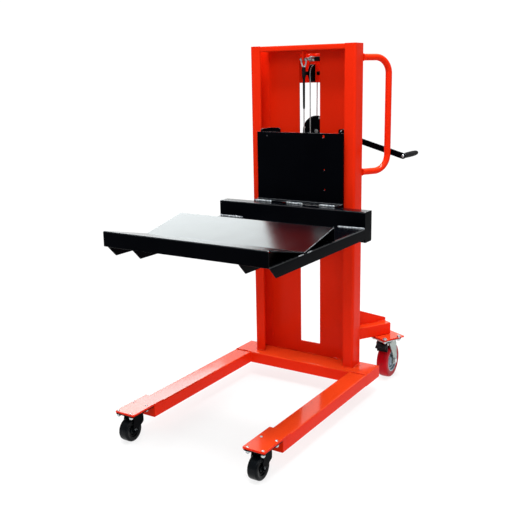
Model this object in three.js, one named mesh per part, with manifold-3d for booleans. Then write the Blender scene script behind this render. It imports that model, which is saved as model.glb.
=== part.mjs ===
// Hand-winch stacker: a channel-section mast on a straddle base, with a winch-lifted
// carriage that carries a V-shaped cradle on two fork arms.
// Millimetres, +Z up, the load side faces -Y. Every height is above the ground.
// X = 0 is the middle of the mast and Y = 0 is the front face of its columns until the
// whole assembly is moved onto its own origin at the end of the file.
import * as THREE from 'three';
import { mergeVertices } from 'three/addons/utils/BufferGeometryUtils.js';
import Module from 'manifold-3d';

const wasm = await Module();
wasm.setup();

// ---- driving dimensions ----
const GAP = 0.3; // left between pieces that touch

const BASE_TOP = 110; // top of the legs and of the cross tube
const TUBE_HEIGHT = 50; // legs and cross tube
const TUBE_WALL = 4;
const CROSS_HALF = 320;
const CROSS_FRONT = -40;
const CROSS_BACK = 90;
const LEG_INNER = 240;
const LEG_OUTER = 320;
const LEG_FRONT = -702;

const FOOT_PLATE = { inner: 236, outer: 323, front: -825, back: -653, thick: 7.5 };

const MAST_HALF = 238;
const MAST_DEPTH = 76;
const MAST_TOP = 1418;
const CHANNEL_FLANGE = 46;
const CHANNEL_WALL = 6;
const SLOT_HALF = 47.5; // slot in the mast's back plate
const SLOT_BOTTOM = 163;
const SLOT_TOP = 1385;
const BEAM_BOTTOM = 1396; // underside of the beam that ties the column tops

const SPLAY = THREE.MathUtils.degToRad(30); // rails and handles turn outward from straight back
const RAIL = { bottom: 189.3, height: 51.3, width: 50, length: 228, outerAtMast: 175, wall: 4 };
const GUSSET = { inset: 37, thick: 6, high: 99.4, low: 14.4 };
const PLATE_TURN = THREE.MathUtils.degToRad(27);
const REAR_PLATE = { x: 283, y: 250, along: 112, across: 102, thick: 6 };

const HANDLE = { rootX: 232, rootY: 80, reach: 124, bend: 63.5, top: 1365, bottom: 920, radius: 13 };

const CABLE_RADIUS = 2.5;
const TOP_PULLEY = { y: 107, z: 1308, pitch: 30, rim: 36, half: 8, bore: 8.6, axle: 8 };
const LOW_PULLEY = { y: 50, z: 840, pitch: 26, rim: 31, half: 8, bore: 6.6, axle: 6 };
const PULLEY_BOX = { bottom: 1270, back: 154, wall: 4 };
const BOOT = { bottom: 1168, step: 1290, top: 1332, radius: 8, tail: 5 };
const SHACKLE_TOP = 1368;

const WINCH = { drumX: 23, drumZ: 1076, crankX: 98, crankZ: 1048.2, cableY: 133, shelfTop: 996 };
const GEAR_MODULE = 4;
const GEAR_TEETH = 30;
const PINION_TEETH = 10;
const GEAR_FRONT = 88;
const GEAR_BACK = 98;
const GEAR_DISC = { radius: 64, front: 84.5 }; // plain guard disc on the gear's front face
const PAWL = { x: 48, z: 1085.3, reach: 23, stud: 4 };
const DRUM_CORE = 20.2;
const CRANK = { tipX: 350, tipZ: 975, half: 12.5, front: 214.3, thick: 6, gripLength: 145 };

const CARRIAGE_BOTTOM = 680;
const CARRIAGE_TOP = 1089;
const PANEL = { half: 197.7, front: -21, thick: 6, top: 1077, lip: 34 };
const BEAM = { half: 336, front: -107, back: -47, bottom: 673, top: 793, wall: 5 };
const SIDE = { web: 185, thick: 6, back: 66, flange: 49 };
const ROLLER = { radius: 31, inner: 195, outer: 228, y: 38, low: 720, high: 1050, stud: 10 };
const FORK = { inner: 218, outer: 336.7, bottom: 687, top: 729, tip: -799, wall: 5 };
const CRADLE = { half: 340, thick: 4, back: -366, valley: -580, front: -810 };
const CRADLE_Z = { seat: 729.5, back: 782, valley: 735, front: 786 };

const FRONT_CASTER = {
  x: 280, y: -775, top: 105, wheel: 43, width: 41, trail: 22, crown: 24, leg: 3, axle: 5,
  boss: 12, clear: 1.6, heel: [[25, 62], [26, 80]],
};
const FRONT_CASTER_PLATE = { inner: 238, outer: 322, front: -825, back: -705, thick: 4.4 };
const REAR_CASTER = {
  x: 286, y: 236, top: 178.7, wheel: 76, width: 50, trail: -22, crown: 36, leg: 4, axle: 6,
  boss: 18, clear: 2.5, heel: [[46, 100], [44, 140]],
};
const REAR_YAW = { left: -6, right: 1 }; // how far each rear caster stands turned, in degrees
const CASTER_PLATE = { along: 100, across: 90, thick: 4 };
const BRAKE = { y: -42, z: 167.7, pin: 3, half: 24 };

// ---- materials ----
const paint = (color, roughness, metalness) => () =>
  new THREE.MeshStandardMaterial({ color, roughness, metalness });
const redPaint = paint('#e6331a', 0.35, 0.1);
const blackPaint = paint('#101216', 0.4, 0.2);
const zinc = paint('#b9c0c2', 0.35, 0.9);
const steelCable = paint('#8d9294', 0.45, 0.8);
const blackRubber = paint('#141516', 0.7, 0);
const redTyre = paint('#b3122a', 0.5, 0);

const stacker = new THREE.Group();

// ---- joining and cutting ----
function welded(geometry) {
  const bare = geometry.clone();
  bare.deleteAttribute('normal');
  bare.deleteAttribute('uv');
  return mergeVertices(bare, 1e-4);
}

function toSolid(geometry) {
  const merged = welded(geometry);
  return new wasm.Manifold(new wasm.Mesh({
    numProp: 3,
    vertProperties: new Float32Array(merged.attributes.position.array),
    triVerts: new Uint32Array(merged.index.array),
  }));
}

function toGeometry(solid) {
  const { vertProperties, triVerts } = solid.getMesh();
  const geometry = new THREE.BufferGeometry();
  geometry.setAttribute('position', new THREE.BufferAttribute(vertProperties, 3));
  geometry.setIndex(new THREE.BufferAttribute(triVerts, 1));
  geometry.computeVertexNormals();
  return geometry;
}

function join(...geometries) {
  return toGeometry(geometries.map(toSolid).reduce((all, next) => all.add(next)));
}

function cut(geometry, ...tools) {
  return toGeometry(tools.map(toSolid).reduce((rest, tool) => rest.subtract(tool), toSolid(geometry)));
}

function addPart(name, geometry, material, parent = stacker) {
  const mesh = new THREE.Mesh(geometry, material());
  mesh.name = name;
  parent.add(mesh);
  return mesh;
}

// ---- plain shapes ----
function box(x0, x1, y0, y1, z0, z1) {
  const geometry = new THREE.BoxGeometry(x1 - x0, y1 - y0, z1 - z0);
  return geometry.translate((x0 + x1) / 2, (y0 + y1) / 2, (z0 + z1) / 2);
}

function outline(points) {
  return new THREE.Shape(points.map(([a, b]) => new THREE.Vector2(a, b)));
}

// An outline of (Y, Z) points, drawn out along X.
function alongX(points, x0, x1) {
  const geometry = new THREE.ExtrudeGeometry(outline(points), { depth: x1 - x0, bevelEnabled: false });
  return geometry.rotateX(Math.PI / 2).rotateZ(Math.PI / 2).translate(x0, 0, 0);
}

// An outline of (X, Z) points, drawn out along Y.
function alongY(points, y0, y1) {
  const geometry = new THREE.ExtrudeGeometry(outline(points), { depth: y1 - y0, bevelEnabled: false });
  return geometry.rotateX(Math.PI / 2).translate(0, y1, 0);
}

function rodX(radius, x0, x1, y, z, sides = 24) {
  const geometry = new THREE.CylinderGeometry(radius, radius, x1 - x0, sides);
  return geometry.rotateZ(Math.PI / 2).translate((x0 + x1) / 2, y, z);
}

function rodY(radius, y0, y1, x, z, sides = 24) {
  const geometry = new THREE.CylinderGeometry(radius, radius, y1 - y0, sides);
  return geometry.translate(x, (y0 + y1) / 2, z);
}

function rodZ(radius, z0, z1, x, y, sides = 24) {
  const geometry = new THREE.CylinderGeometry(radius, radius, z1 - z0, sides);
  return geometry.rotateX(Math.PI / 2).translate(x, y, (z0 + z1) / 2);
}

// A closed ring around X: profile points are (radius, x).
function turnedX(profile, y, z, sides = 36) {
  const points = [...profile, profile[0]].map(([radius, x]) => new THREE.Vector2(radius, x));
  return new THREE.LatheGeometry(points, sides).rotateZ(-Math.PI / 2).translate(0, y, z);
}

function tube(path, radius, steps, sides) {
  const section = new THREE.Shape();
  section.absarc(0, 0, radius, 0, 2 * Math.PI, false);
  return new THREE.ExtrudeGeometry(section, {
    steps, extrudePath: path, curveSegments: sides / 2, bevelEnabled: false,
  });
}

// Part of a circle around a centre, in the plane of the directions u and v.
class Arc extends THREE.Curve {
  constructor(centre, u, v, radius, from, to) {
    super();
    Object.assign(this, { centre, u, v, radius, from, to });
  }

  getPoint(t, target = new THREE.Vector3()) {
    const angle = this.from + (this.to - this.from) * t;
    return target.copy(this.centre)
      .addScaledVector(this.u, this.radius * Math.cos(angle))
      .addScaledVector(this.v, this.radius * Math.sin(angle));
  }
}

// The same piece for the other side of the machine.
function mirrored(geometry) {
  const flipped = welded(geometry).scale(-1, 1, 1);
  flipped.setIndex([...flipped.index.array].reverse());
  flipped.computeVertexNormals();
  return flipped;
}

function addPair(name, geometry, material) {
  addPart(`${name}_right`, geometry, material);
  addPart(`${name}_left`, mirrored(geometry), material);
}

// ---- base ----
function crossTube() {
  const low = BASE_TOP - TUBE_HEIGHT;
  const shell = box(-CROSS_HALF, CROSS_HALF, CROSS_FRONT, CROSS_BACK, low, BASE_TOP);
  const hollow = box(
    -CROSS_HALF + TUBE_WALL, CROSS_HALF - TUBE_WALL, CROSS_FRONT + TUBE_WALL, CROSS_BACK - TUBE_WALL,
    low + TUBE_WALL, BASE_TOP - TUBE_WALL,
  );
  const drain = rodZ(6, low - 1, low + TUBE_WALL + 1, 0, (CROSS_FRONT + CROSS_BACK) / 2, 12);
  return cut(shell, hollow, drain);
}

function leg() {
  const low = BASE_TOP - TUBE_HEIGHT;
  const back = CROSS_FRONT - GAP;
  const shell = box(LEG_INNER, LEG_OUTER, LEG_FRONT, back, low, BASE_TOP);
  const hollow = box(
    LEG_INNER + TUBE_WALL, LEG_OUTER - TUBE_WALL, LEG_FRONT + TUBE_WALL, back + 1,
    low + TUBE_WALL, BASE_TOP - TUBE_WALL,
  );
  return cut(shell, hollow);
}

function footPlate() {
  const { inner, outer, front, back, thick } = FOOT_PLATE;
  return box(inner, outer, front, back, BASE_TOP + GAP, BASE_TOP + GAP + thick);
}

addPart('base_cross_tube', crossTube(), redPaint);
addPair('leg', leg(), redPaint);
addPair('leg_plate', footPlate(), redPaint);

// ---- mast ----
function mastColumn() {
  const inside = MAST_HALF - CHANNEL_FLANGE;
  const web = MAST_HALF - CHANNEL_WALL;
  const section = new THREE.Shape([
    [MAST_HALF, 0], [MAST_HALF, MAST_DEPTH], [inside, MAST_DEPTH], [inside, MAST_DEPTH - CHANNEL_WALL],
    [web, MAST_DEPTH - CHANNEL_WALL], [web, CHANNEL_WALL], [inside, CHANNEL_WALL], [inside, 0],
  ].map(([x, y]) => new THREE.Vector2(x, y)));
  const height = MAST_TOP - BASE_TOP - GAP;
  const geometry = new THREE.ExtrudeGeometry(section, { depth: height, bevelEnabled: false });
  return geometry.translate(0, 0, BASE_TOP + GAP);
}

function backPlate() {
  const half = MAST_HALF - CHANNEL_FLANGE - GAP;
  const front = MAST_DEPTH - CHANNEL_WALL;
  const sheet = box(-half, half, front, MAST_DEPTH, BASE_TOP + GAP, BEAM_BOTTOM - GAP);
  return cut(sheet, box(-SLOT_HALF, SLOT_HALF, front - 1, MAST_DEPTH + 1, SLOT_BOTTOM, SLOT_TOP));
}

// The top beam carries the lug that the cable's fixed end hangs from.
function topBeam() {
  const half = MAST_HALF - CHANNEL_FLANGE - GAP;
  const beam = box(-half, half, 1, MAST_DEPTH - 1, BEAM_BOTTOM, MAST_TOP - 1);
  const y = LOW_PULLEY.y - LOW_PULLEY.pitch;
  const lug = box(-3, 3, y - 10, y + 12, SHACKLE_TOP - 14, BEAM_BOTTOM + 1);
  const hole = rodX(5.5, -5, 5, y, SHACKLE_TOP - 6, 16);
  return cut(join(beam, lug), hole);
}

addPair('mast_column', mastColumn(), redPaint);
addPart('mast_back_plate', backPlate(), redPaint);
addPart('mast_top_beam', topBeam(), redPaint);

// ---- rear rails and caster plates ----
// They are drawn straight back from the rail's outer corner and then turned outward.
const railRoot = new THREE.Matrix4()
  .makeTranslation(RAIL.outerAtMast, MAST_DEPTH + GAP, 0)
  .multiply(new THREE.Matrix4().makeRotationZ(-SPLAY));

// Everything in front of the mast's rear face, which rails and handles are cut to fit.
function mastRoom() {
  return box(-400, 400, -200, MAST_DEPTH + GAP, 0, MAST_TOP);
}

// A square tube with a tapered gusset standing on it.
function rearRail() {
  const { bottom, height, width, length, wall } = RAIL;
  const { inset, thick, high, low } = GUSSET;
  const under = bottom + GAP;
  const over = bottom + height;
  const ahead = 60; // how far it is drawn into the mast before it is cut
  const rise = over + high + ((high - low) / length) * ahead;
  const shell = box(-width, 0, -ahead, length, under, over);
  const hollow = box(-width + wall, -wall, -ahead - 1, length - wall, under + wall, over - wall);
  const gusset = alongX(
    [[-ahead, over - 1], [length, over - 1], [length, over + low], [-ahead, rise]],
    -inset - thick, -inset,
  );
  return cut(join(cut(shell, hollow), gusset).applyMatrix4(railRoot), mastRoom());
}

function turnedPlate({ x, y }, { along, across, thick }, top) {
  const plate = box(-across / 2, across / 2, -along / 2, along / 2, top - thick, top);
  return plate.rotateZ(-PLATE_TURN).translate(x, y, 0);
}

addPair('rear_rail', rearRail(), redPaint);
addPair('rear_plate', turnedPlate(REAR_PLATE, REAR_PLATE, RAIL.bottom), redPaint);
const casterPlateTop = RAIL.bottom - REAR_PLATE.thick - GAP;
addPair('rear_caster_plate', turnedPlate(REAR_CASTER, CASTER_PLATE, casterPlateTop), zinc);

// ---- push handles ----
function pushHandle() {
  const { rootX, rootY, reach, bend, top, bottom, radius } = HANDLE;
  const outward = new THREE.Vector3(Math.sin(SPLAY), Math.cos(SPLAY), 0);
  const up = new THREE.Vector3(0, 0, 1);
  const at = (distance, z) => new THREE.Vector3(rootX, rootY, z).addScaledVector(outward, distance);
  const quarter = (z, from) => new Arc(at(reach - bend, z), outward, up, bend, from, from - Math.PI / 2);
  const ahead = -25; // how far it is drawn into the mast before it is cut
  const path = new THREE.CurvePath();
  path.add(new THREE.LineCurve3(at(ahead, top), at(reach - bend, top)));
  path.add(quarter(top - bend, Math.PI / 2));
  path.add(new THREE.LineCurve3(at(reach, top - bend), at(reach, bottom + bend)));
  path.add(quarter(bottom + bend, 0));
  path.add(new THREE.LineCurve3(at(reach - bend, bottom), at(ahead, bottom)));
  return cut(tube(path, radius, 56, 12), mastRoom());
}

addPair('push_handle', pushHandle(), redPaint);

// ---- cable, pulleys and anchor ----
function pulley({ y, z, pitch, rim, half, bore }) {
  const floor = pitch - CABLE_RADIUS - 2 * GAP;
  return turnedX([
    [bore, -half], [rim, -half], [rim, -half + 1.5], [floor, -2.6],
    [floor, 2.6], [rim, half - 1.5], [rim, half], [bore, half],
  ], y, z);
}

function pulleyBox() {
  const { bottom, back, wall } = PULLEY_BOX;
  const half = SLOT_HALF + wall;
  const front = MAST_DEPTH + GAP;
  const shell = box(-half, half, front, back, bottom, SLOT_TOP);
  const hollow = box(-SLOT_HALF, SLOT_HALF, front - 1, back - wall, bottom - 1, SLOT_TOP + 1);
  return cut(shell, hollow, rodX(TOP_PULLEY.axle + GAP, -60, 60, TOP_PULLEY.y, TOP_PULLEY.z));
}

const BACK = new THREE.Vector3(0, 1, 0);
const UP = new THREE.Vector3(0, 0, 1);

// From the drum up and over the top pulley, down to the pulley's front.
function fixedCableRun() {
  const { y, z, pitch } = TOP_PULLEY;
  const centre = new THREE.Vector3(0, y, z);
  const path = new THREE.CurvePath();
  path.add(new THREE.LineCurve3(
    new THREE.Vector3(0, WINCH.cableY, WINCH.drumZ), new THREE.Vector3(0, y + pitch, z),
  ));
  path.add(new Arc(centre, BACK, UP, pitch, 0, Math.PI));
  return tube(path, CABLE_RADIUS, 32, 8);
}

function straightRun(y, z0, z1) {
  return rodZ(CABLE_RADIUS, z0, z1, 0, y, 8);
}

function lowerBend() {
  const { y, z, pitch } = LOW_PULLEY;
  const wrap = new Arc(new THREE.Vector3(0, y, z - GAP), BACK, UP, pitch, 0, -Math.PI);
  return tube(wrap, CABLE_RADIUS, 16, 8);
}

function cableBoot(y) {
  const { bottom, step, top, radius, tail } = BOOT;
  return join(rodZ(tail, bottom, step + 1, 0, y, 16), rodZ(radius, step, top, 0, y, 16));
}

// A yoke whose two legs pass either side of the lug, with a pin through its eye.
function shackle(y) {
  const low = BOOT.top + GAP;
  const eye = SHACKLE_TOP - 6;
  const yoke = alongY([
    [-5, low], [5, low], [13, eye - 8], [13, eye + 6], [7, eye + 6], [7, eye - 6], [0, eye - 20],
    [-7, eye - 6], [-7, eye + 6], [-13, eye + 6], [-13, eye - 8],
  ], y - 7, y + 7);
  return join(yoke, rodX(5, -16, 16, y, eye, 16));
}

const frontRunY = LOW_PULLEY.y - LOW_PULLEY.pitch;
const backRunY = LOW_PULLEY.y + LOW_PULLEY.pitch;
addPart('pulley_box', pulleyBox(), redPaint);
addPart('top_pulley', pulley(TOP_PULLEY), blackPaint);
addPart('top_pulley_axle', rodX(TOP_PULLEY.axle, -58, 58, TOP_PULLEY.y, TOP_PULLEY.z), zinc);
addPart('cable_boot', cableBoot(frontRunY), blackRubber);
addPart('cable_shackle', shackle(frontRunY), zinc);
addPart('cable_fixed_run', fixedCableRun(), steelCable);
addPart('cable_live_run', straightRun(backRunY, LOW_PULLEY.z, TOP_PULLEY.z - GAP), steelCable);
addPart('cable_dead_run', straightRun(frontRunY, LOW_PULLEY.z, BOOT.bottom - GAP), steelCable);

// ---- winch ----
// A shelf on two ribs, which stand clear of the slot so that the cable can pass.
function winchShelf() {
  const top = WINCH.shelfTop - GAP;
  const shelf = box(-62, 145, 88, 190, top - 6, top);
  const back = MAST_DEPTH + GAP;
  const rib = (x) => alongX([[back, top - 70], [96, top - 70], [184, top - 6], [184, top], [back, top]], x, x + 6);
  return join(shelf, rib(-62), rib(114));
}

function winchFrame() {
  const low = WINCH.shelfTop;
  const side = [
    [-27, low], [128, low], [128, 1048], [116, 1072], [62, 1116], [-8, 1116], [-27, 1090],
  ];
  const frame = join(
    alongY(side, 100, 104), alongY(side, 170, 174), box(-27, 128, 100, 174, low, low + 4),
    rodY(PAWL.stud, 171, 196, PAWL.x, PAWL.z, 16),
  );
  return cut(
    frame,
    rodY(9.4, 90, 180, WINCH.drumX, WINCH.drumZ),
    rodY(8.8, 90, 180, WINCH.crankX, WINCH.crankZ),
  );
}

function winchDrum() {
  const at = (radius, y0, y1) => rodY(radius, y0, y1, WINCH.drumX, WINCH.drumZ);
  const wraps = at(DRUM_CORE + 2 * CABLE_RADIUS, 109, 127);
  return join(at(8.4, 84, 178), at(DRUM_CORE, 107, 167), at(46, 105, 108), at(46, 166, 169), wraps);
}

// Straight-flanked teeth, thinner than half the pitch so that the pair runs with backlash.
function gearOutline(teeth, x, z, phase) {
  const pitch = (GEAR_MODULE * teeth) / 2;
  const root = pitch - 1.15 * GEAR_MODULE;
  const tip = pitch + 0.8 * GEAR_MODULE;
  const step = (2 * Math.PI) / teeth;
  const points = [];
  for (let i = 0; i < teeth; i += 1) {
    const middle = phase + i * step;
    for (const [radius, share] of [[root, -0.3], [tip, -0.1], [tip, 0.1], [root, 0.3]]) {
      const angle = middle + share * step;
      points.push([x + radius * Math.cos(angle), z + radius * Math.sin(angle)]);
    }
  }
  return points;
}

const meshAngle = Math.atan2(WINCH.crankZ - WINCH.drumZ, WINCH.crankX - WINCH.drumX);

function drumGear() {
  const teeth = gearOutline(GEAR_TEETH, WINCH.drumX, WINCH.drumZ, meshAngle);
  const bore = rodY(8.8, 80, 104, WINCH.drumX, WINCH.drumZ);
  const disc = rodY(GEAR_DISC.radius, GEAR_DISC.front, GEAR_FRONT + 0.5, WINCH.drumX, WINCH.drumZ, 64);
  return cut(join(alongY(teeth, GEAR_FRONT, GEAR_BACK), disc), bore);
}

function pinionShaft() {
  const phase = meshAngle + Math.PI + Math.PI / PINION_TEETH;
  const outline = gearOutline(PINION_TEETH, WINCH.crankX, WINCH.crankZ, phase);
  const teeth = alongY(outline, GEAR_FRONT + 1, GEAR_BACK);
  const shaft = (radius, y0, y1) => rodY(radius, y0, y1, WINCH.crankX, WINCH.crankZ);
  return join(teeth, shaft(8, 84, CRANK.front - GAP), shaft(13, 198, CRANK.front - GAP));
}

function ratchetWheel() {
  const points = [];
  const teeth = 20;
  for (let i = 0; i < teeth; i += 1) {
    for (const [radius, share] of [[38, 0], [33, 0.12]]) {
      const angle = (2 * Math.PI * (i + share)) / teeth;
      points.push([WINCH.crankX + radius * Math.cos(angle), WINCH.crankZ + radius * Math.sin(angle)]);
    }
  }
  return cut(alongY(points, 182, 192), rodY(8.4, 170, 200, WINCH.crankX, WINCH.crankZ));
}

function winchPawl() {
  const away = Math.atan2(WINCH.crankZ - PAWL.z, WINCH.crankX - PAWL.x);
  const finger = box(0, PAWL.reach, 182, 192, -4, 4).rotateY(-away).translate(PAWL.x, 0, PAWL.z);
  const boss = rodY(8, 182, 192, PAWL.x, PAWL.z, 16);
  return cut(join(finger, boss), rodY(PAWL.stud + GAP, 180, 194, PAWL.x, PAWL.z, 16));
}

function crankArm() {
  const { tipX, tipZ, half, front, thick, gripLength } = CRANK;
  const dx = tipX - WINCH.crankX;
  const dz = tipZ - WINCH.crankZ;
  const along = Math.atan2(dz, dx);
  const end = (x, z, from) => Array.from({ length: 7 }, (_, i) => {
    const angle = along + from + (Math.PI * i) / 6;
    return [x + half * Math.cos(angle), z + half * Math.sin(angle)];
  });
  const bar = [...end(tipX, tipZ, -Math.PI / 2), ...end(WINCH.crankX, WINCH.crankZ, Math.PI / 2)];
  const back = front + thick;
  return join(alongY(bar, front, back), rodY(5, front, back + gripLength + 4, tipX, tipZ, 16));
}

function crankGrip() {
  const { tipX, tipZ, front, thick, gripLength } = CRANK;
  const start = front + thick + 1;
  const profile = [[5.7, 0], [10, 0], [11, 20], [11.5, 75], [10.5, 130], [8.5, gripLength], [5.7, gripLength]];
  const points = [...profile, profile[0]].map(([radius, y]) => new THREE.Vector2(radius, y));
  return new THREE.LatheGeometry(points, 24).translate(tipX, start, tipZ);
}

addPart('winch_shelf', winchShelf(), redPaint);
addPart('winch_frame', winchFrame(), blackPaint);
addPart('winch_drum', winchDrum(), zinc);
addPart('drum_gear', drumGear(), blackPaint);
addPart('pinion_shaft', pinionShaft(), zinc);
addPart('ratchet_wheel', ratchetWheel(), zinc);
addPart('winch_pawl', winchPawl(), zinc);
addPart('crank_arm', crankArm(), blackPaint);
addPart('crank_grip', crankGrip(), blackRubber);

// ---- carriage ----
function carriagePanel() {
  const { half, front, thick, top, lip } = PANEL;
  const seat = BEAM.top + GAP;
  const sheet = box(-half, half, front, front + thick, seat, top);
  const foot = box(-half, half, front - lip, front + 1, seat, seat + thick);
  const holes = [[111, 1064, 6], [115, 934, 4], [117, 853, 4], [-149, 1063, 3]];
  return cut(join(sheet, foot), ...holes.map(([x, z, radius]) => rodY(radius, front - 1, front + thick + 1, x, z, 16)));
}

function carriageBeam() {
  const { half, front, back, bottom, top, wall } = BEAM;
  const shell = box(-half, half, front, back, bottom, top);
  const hollow = box(-half + wall, half - wall, front + wall, back - wall, bottom + wall, top - wall);
  const drain = rodZ(6, bottom - 1, bottom + wall + 1, 0, (front + back) / 2, 12);
  return cut(shell, hollow, drain);
}

// A bent plate that reaches from the beam into the mast and carries two roller studs.
function carriageSide() {
  const { web, thick, back, flange } = SIDE;
  const beamBack = BEAM.back + GAP;
  const panelBack = PANEL.front + PANEL.thick + GAP;
  const footUnder = BEAM.top - GAP;
  const plate = alongX([
    [beamBack, CARRIAGE_BOTTOM], [back, CARRIAGE_BOTTOM], [back, CARRIAGE_TOP],
    [panelBack, CARRIAGE_TOP], [panelBack, footUnder], [beamBack, footUnder],
  ], web - thick, web);
  const rear = box(web - flange, web, back - thick, back, CARRIAGE_BOTTOM, CARRIAGE_TOP);
  const stud = (z) => rodX(ROLLER.stud, web - 1, ROLLER.outer + 1.5, ROLLER.y, z);
  return join(plate, rear, stud(ROLLER.low), stud(ROLLER.high));
}

function mastRoller(z) {
  const { radius, inner, outer, y, stud } = ROLLER;
  return turnedX([
    [stud + 0.5, inner], [radius - 2, inner], [radius, inner + 2], [radius, outer - 2],
    [radius - 2, outer], [stud + 0.5, outer],
  ], y, z);
}

// An inverted channel, open underneath, with its front end cut back at 45 degrees.
function forkArm() {
  const { inner, outer, bottom, top, tip, wall } = FORK;
  const height = top - bottom;
  const back = BEAM.front - GAP;
  const profile = [[back, bottom], [back, top], [tip, top], [tip + height, bottom]];
  const hollow = box(inner + wall, outer - wall, tip - 20, back + 1, bottom - 1, top - wall);
  return cut(alongX(profile, inner, outer), hollow);
}

function cradle() {
  const { half, thick, back, valley, front } = CRADLE;
  const { seat } = CRADLE_Z;
  const sheet = [
    [back, seat], [back, CRADLE_Z.back], [valley, CRADLE_Z.valley], [front, CRADLE_Z.front],
    [front, seat], [front + thick, seat], [front + thick, CRADLE_Z.front - thick],
    [valley, CRADLE_Z.valley - thick], [back - thick, CRADLE_Z.back - 1.5 * thick], [back - thick, seat],
  ];
  return alongX(sheet.slice().reverse(), -half, half);
}

function pulleyBracket() {
  const { y, z, axle } = LOW_PULLEY;
  const front = PANEL.front + PANEL.thick + GAP;
  const foot = box(-32, 32, front, front + 4, z - 38, z + 38);
  const cheek = (x) => alongX(
    [[front, z - 24], [y, z - 14], [y + 12, z - 6], [y + 12, z + 6], [y, z + 14], [front, z + 24]], x, x + 4,
  );
  return join(foot, cheek(-14), cheek(10), rodX(axle, -17, 17, y, z, 20));
}

addPart('carriage_panel', carriagePanel(), blackPaint);
addPart('carriage_beam', carriageBeam(), blackPaint);
addPair('carriage_side', carriageSide(), blackPaint);
addPair('upper_roller', mastRoller(ROLLER.high), zinc);
addPair('lower_roller', mastRoller(ROLLER.low), zinc);
addPair('fork_arm', forkArm(), blackPaint);
addPart('cradle_platform', cradle(), blackPaint);
addPart('pulley_bracket', pulleyBracket(), blackPaint);
addPart('moving_pulley', pulley(LOW_PULLEY), blackPaint);
addPart('cable_lower_bend', lowerBend(), steelCable);

// ---- casters ----
// Drawn with the swivel axis at X = Y = 0 and the wheel trail millimetres towards -Y.
function casterFork({ top, wheel, width, trail, crown, leg: sheet, axle, boss, clear, heel }) {
  const inner = width / 2 + clear;
  const outer = inner + sheet;
  const high = top - 3;
  const deck = high - 2 * sheet;
  const profile = [
    [-trail - boss, wheel], [-trail - 0.7 * boss, wheel - 0.7 * boss], [-trail, wheel - boss],
    [-trail + 0.7 * boss, wheel - 0.7 * boss], [-trail + boss, wheel],
    ...heel, [crown, high], [-crown, high],
  ];
  const room = box(-inner, inner, -200, 200, -1, Math.min(deck, 2 * wheel + 9));
  const race = rodZ(0.8 * crown, high - 1, top, 0, 0);
  const pin = rodX(axle, -outer - 3, outer + 3, -trail, wheel, 20);
  return join(cut(alongX(profile, -outer, outer), room), race, pin);
}

function casterWheel({ wheel, width, trail, axle }) {
  const half = width / 2;
  const shoulder = 0.16 * wheel;
  const rim = 0.68 * wheel;
  const hub = 0.3 * wheel;
  const web = 0.35 * half;
  const bore = axle + 0.6;
  const right = [
    [hub, half], [hub, web], [rim, web], [rim, half - 1],
    [wheel - shoulder, half - 1], [wheel - 0.3 * shoulder, half - 0.5 * shoulder], [wheel, half - shoulder],
  ];
  const left = right.map(([radius, x]) => [radius, -x]).reverse();
  return turnedX([[bore, half], ...right, ...left, [bore, -half]].reverse(), -trail, wheel, 40);
}

// Two ears on the front of a rear fork, with the pin that the brake pedal turns on.
function brakeEars() {
  const { y, z, pin, half } = BRAKE;
  const ear = (x) => alongX([[y - 6, z - 6], [-28, z - 6], [-28, z + 6], [y - 6, z + 6]], x, x + 3);
  return join(ear(half), ear(-half - 3), rodX(pin, -half - 4, half + 4, y, z, 16));
}

// A pedal that leans forward, and under its pin the shoe that it presses on the tread.
function brakePedal() {
  const { y, z, pin, half } = BRAKE;
  const outline = [
    [-24, -20], [-7, -9], [-5, -36], [8, -35], [5, -4], [5, 4], [-4, 5], [-26, -13],
  ].map(([dy, dz]) => [y + dy, z + dz]);
  return cut(alongX(outline, -half + 1, half - 1), rodX(pin + GAP, -half, half, y, z, 16));
}

function addCaster(name, spec, side, yaw, tyre, finish, ears = []) {
  const swivel = new THREE.Group();
  swivel.position.set(side * spec.x, spec.y, 0);
  swivel.rotation.z = THREE.MathUtils.degToRad(yaw);
  addPart(`${name}_fork`, join(casterFork(spec), ...ears), finish, swivel);
  addPart(`${name}_wheel`, casterWheel(spec), tyre, swivel);
  stacker.add(swivel);
  return swivel;
}

function frontCasterPlate() {
  const { inner, outer, front, back, thick } = FRONT_CASTER_PLATE;
  const low = FRONT_CASTER.top + GAP;
  return box(inner, outer, front, back, low, low + thick);
}

addPair('front_caster_plate', frontCasterPlate(), blackPaint);
for (const [side, sign] of [['right', 1], ['left', -1]]) {
  addCaster(`front_caster_${side}`, FRONT_CASTER, sign, 0, blackRubber, blackPaint);
  const rear = addCaster(
    `rear_caster_${side}`, REAR_CASTER, sign, REAR_YAW[side], redTyre, zinc, [brakeEars()],
  );
  addPart(`rear_brake_${side}`, brakePedal(), blackPaint, rear);
}

// ---- origin: middle of the footprint, on the ground ----
stacker.updateMatrixWorld(true);
const extent = new THREE.Box3().setFromObject(stacker, true);
stacker.position.set(
  -(extent.min.x + extent.max.x) / 2, -(extent.min.y + extent.max.y) / 2, -extent.min.z,
);
stacker.updateMatrixWorld(true);

export default stacker;
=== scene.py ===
"""The looks of a hand-winch stacker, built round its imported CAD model."""

import math
import random

import bmesh
import bpy
from mathutils import Matrix, Vector
from mathutils.geometry import tessellate_polygon


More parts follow.
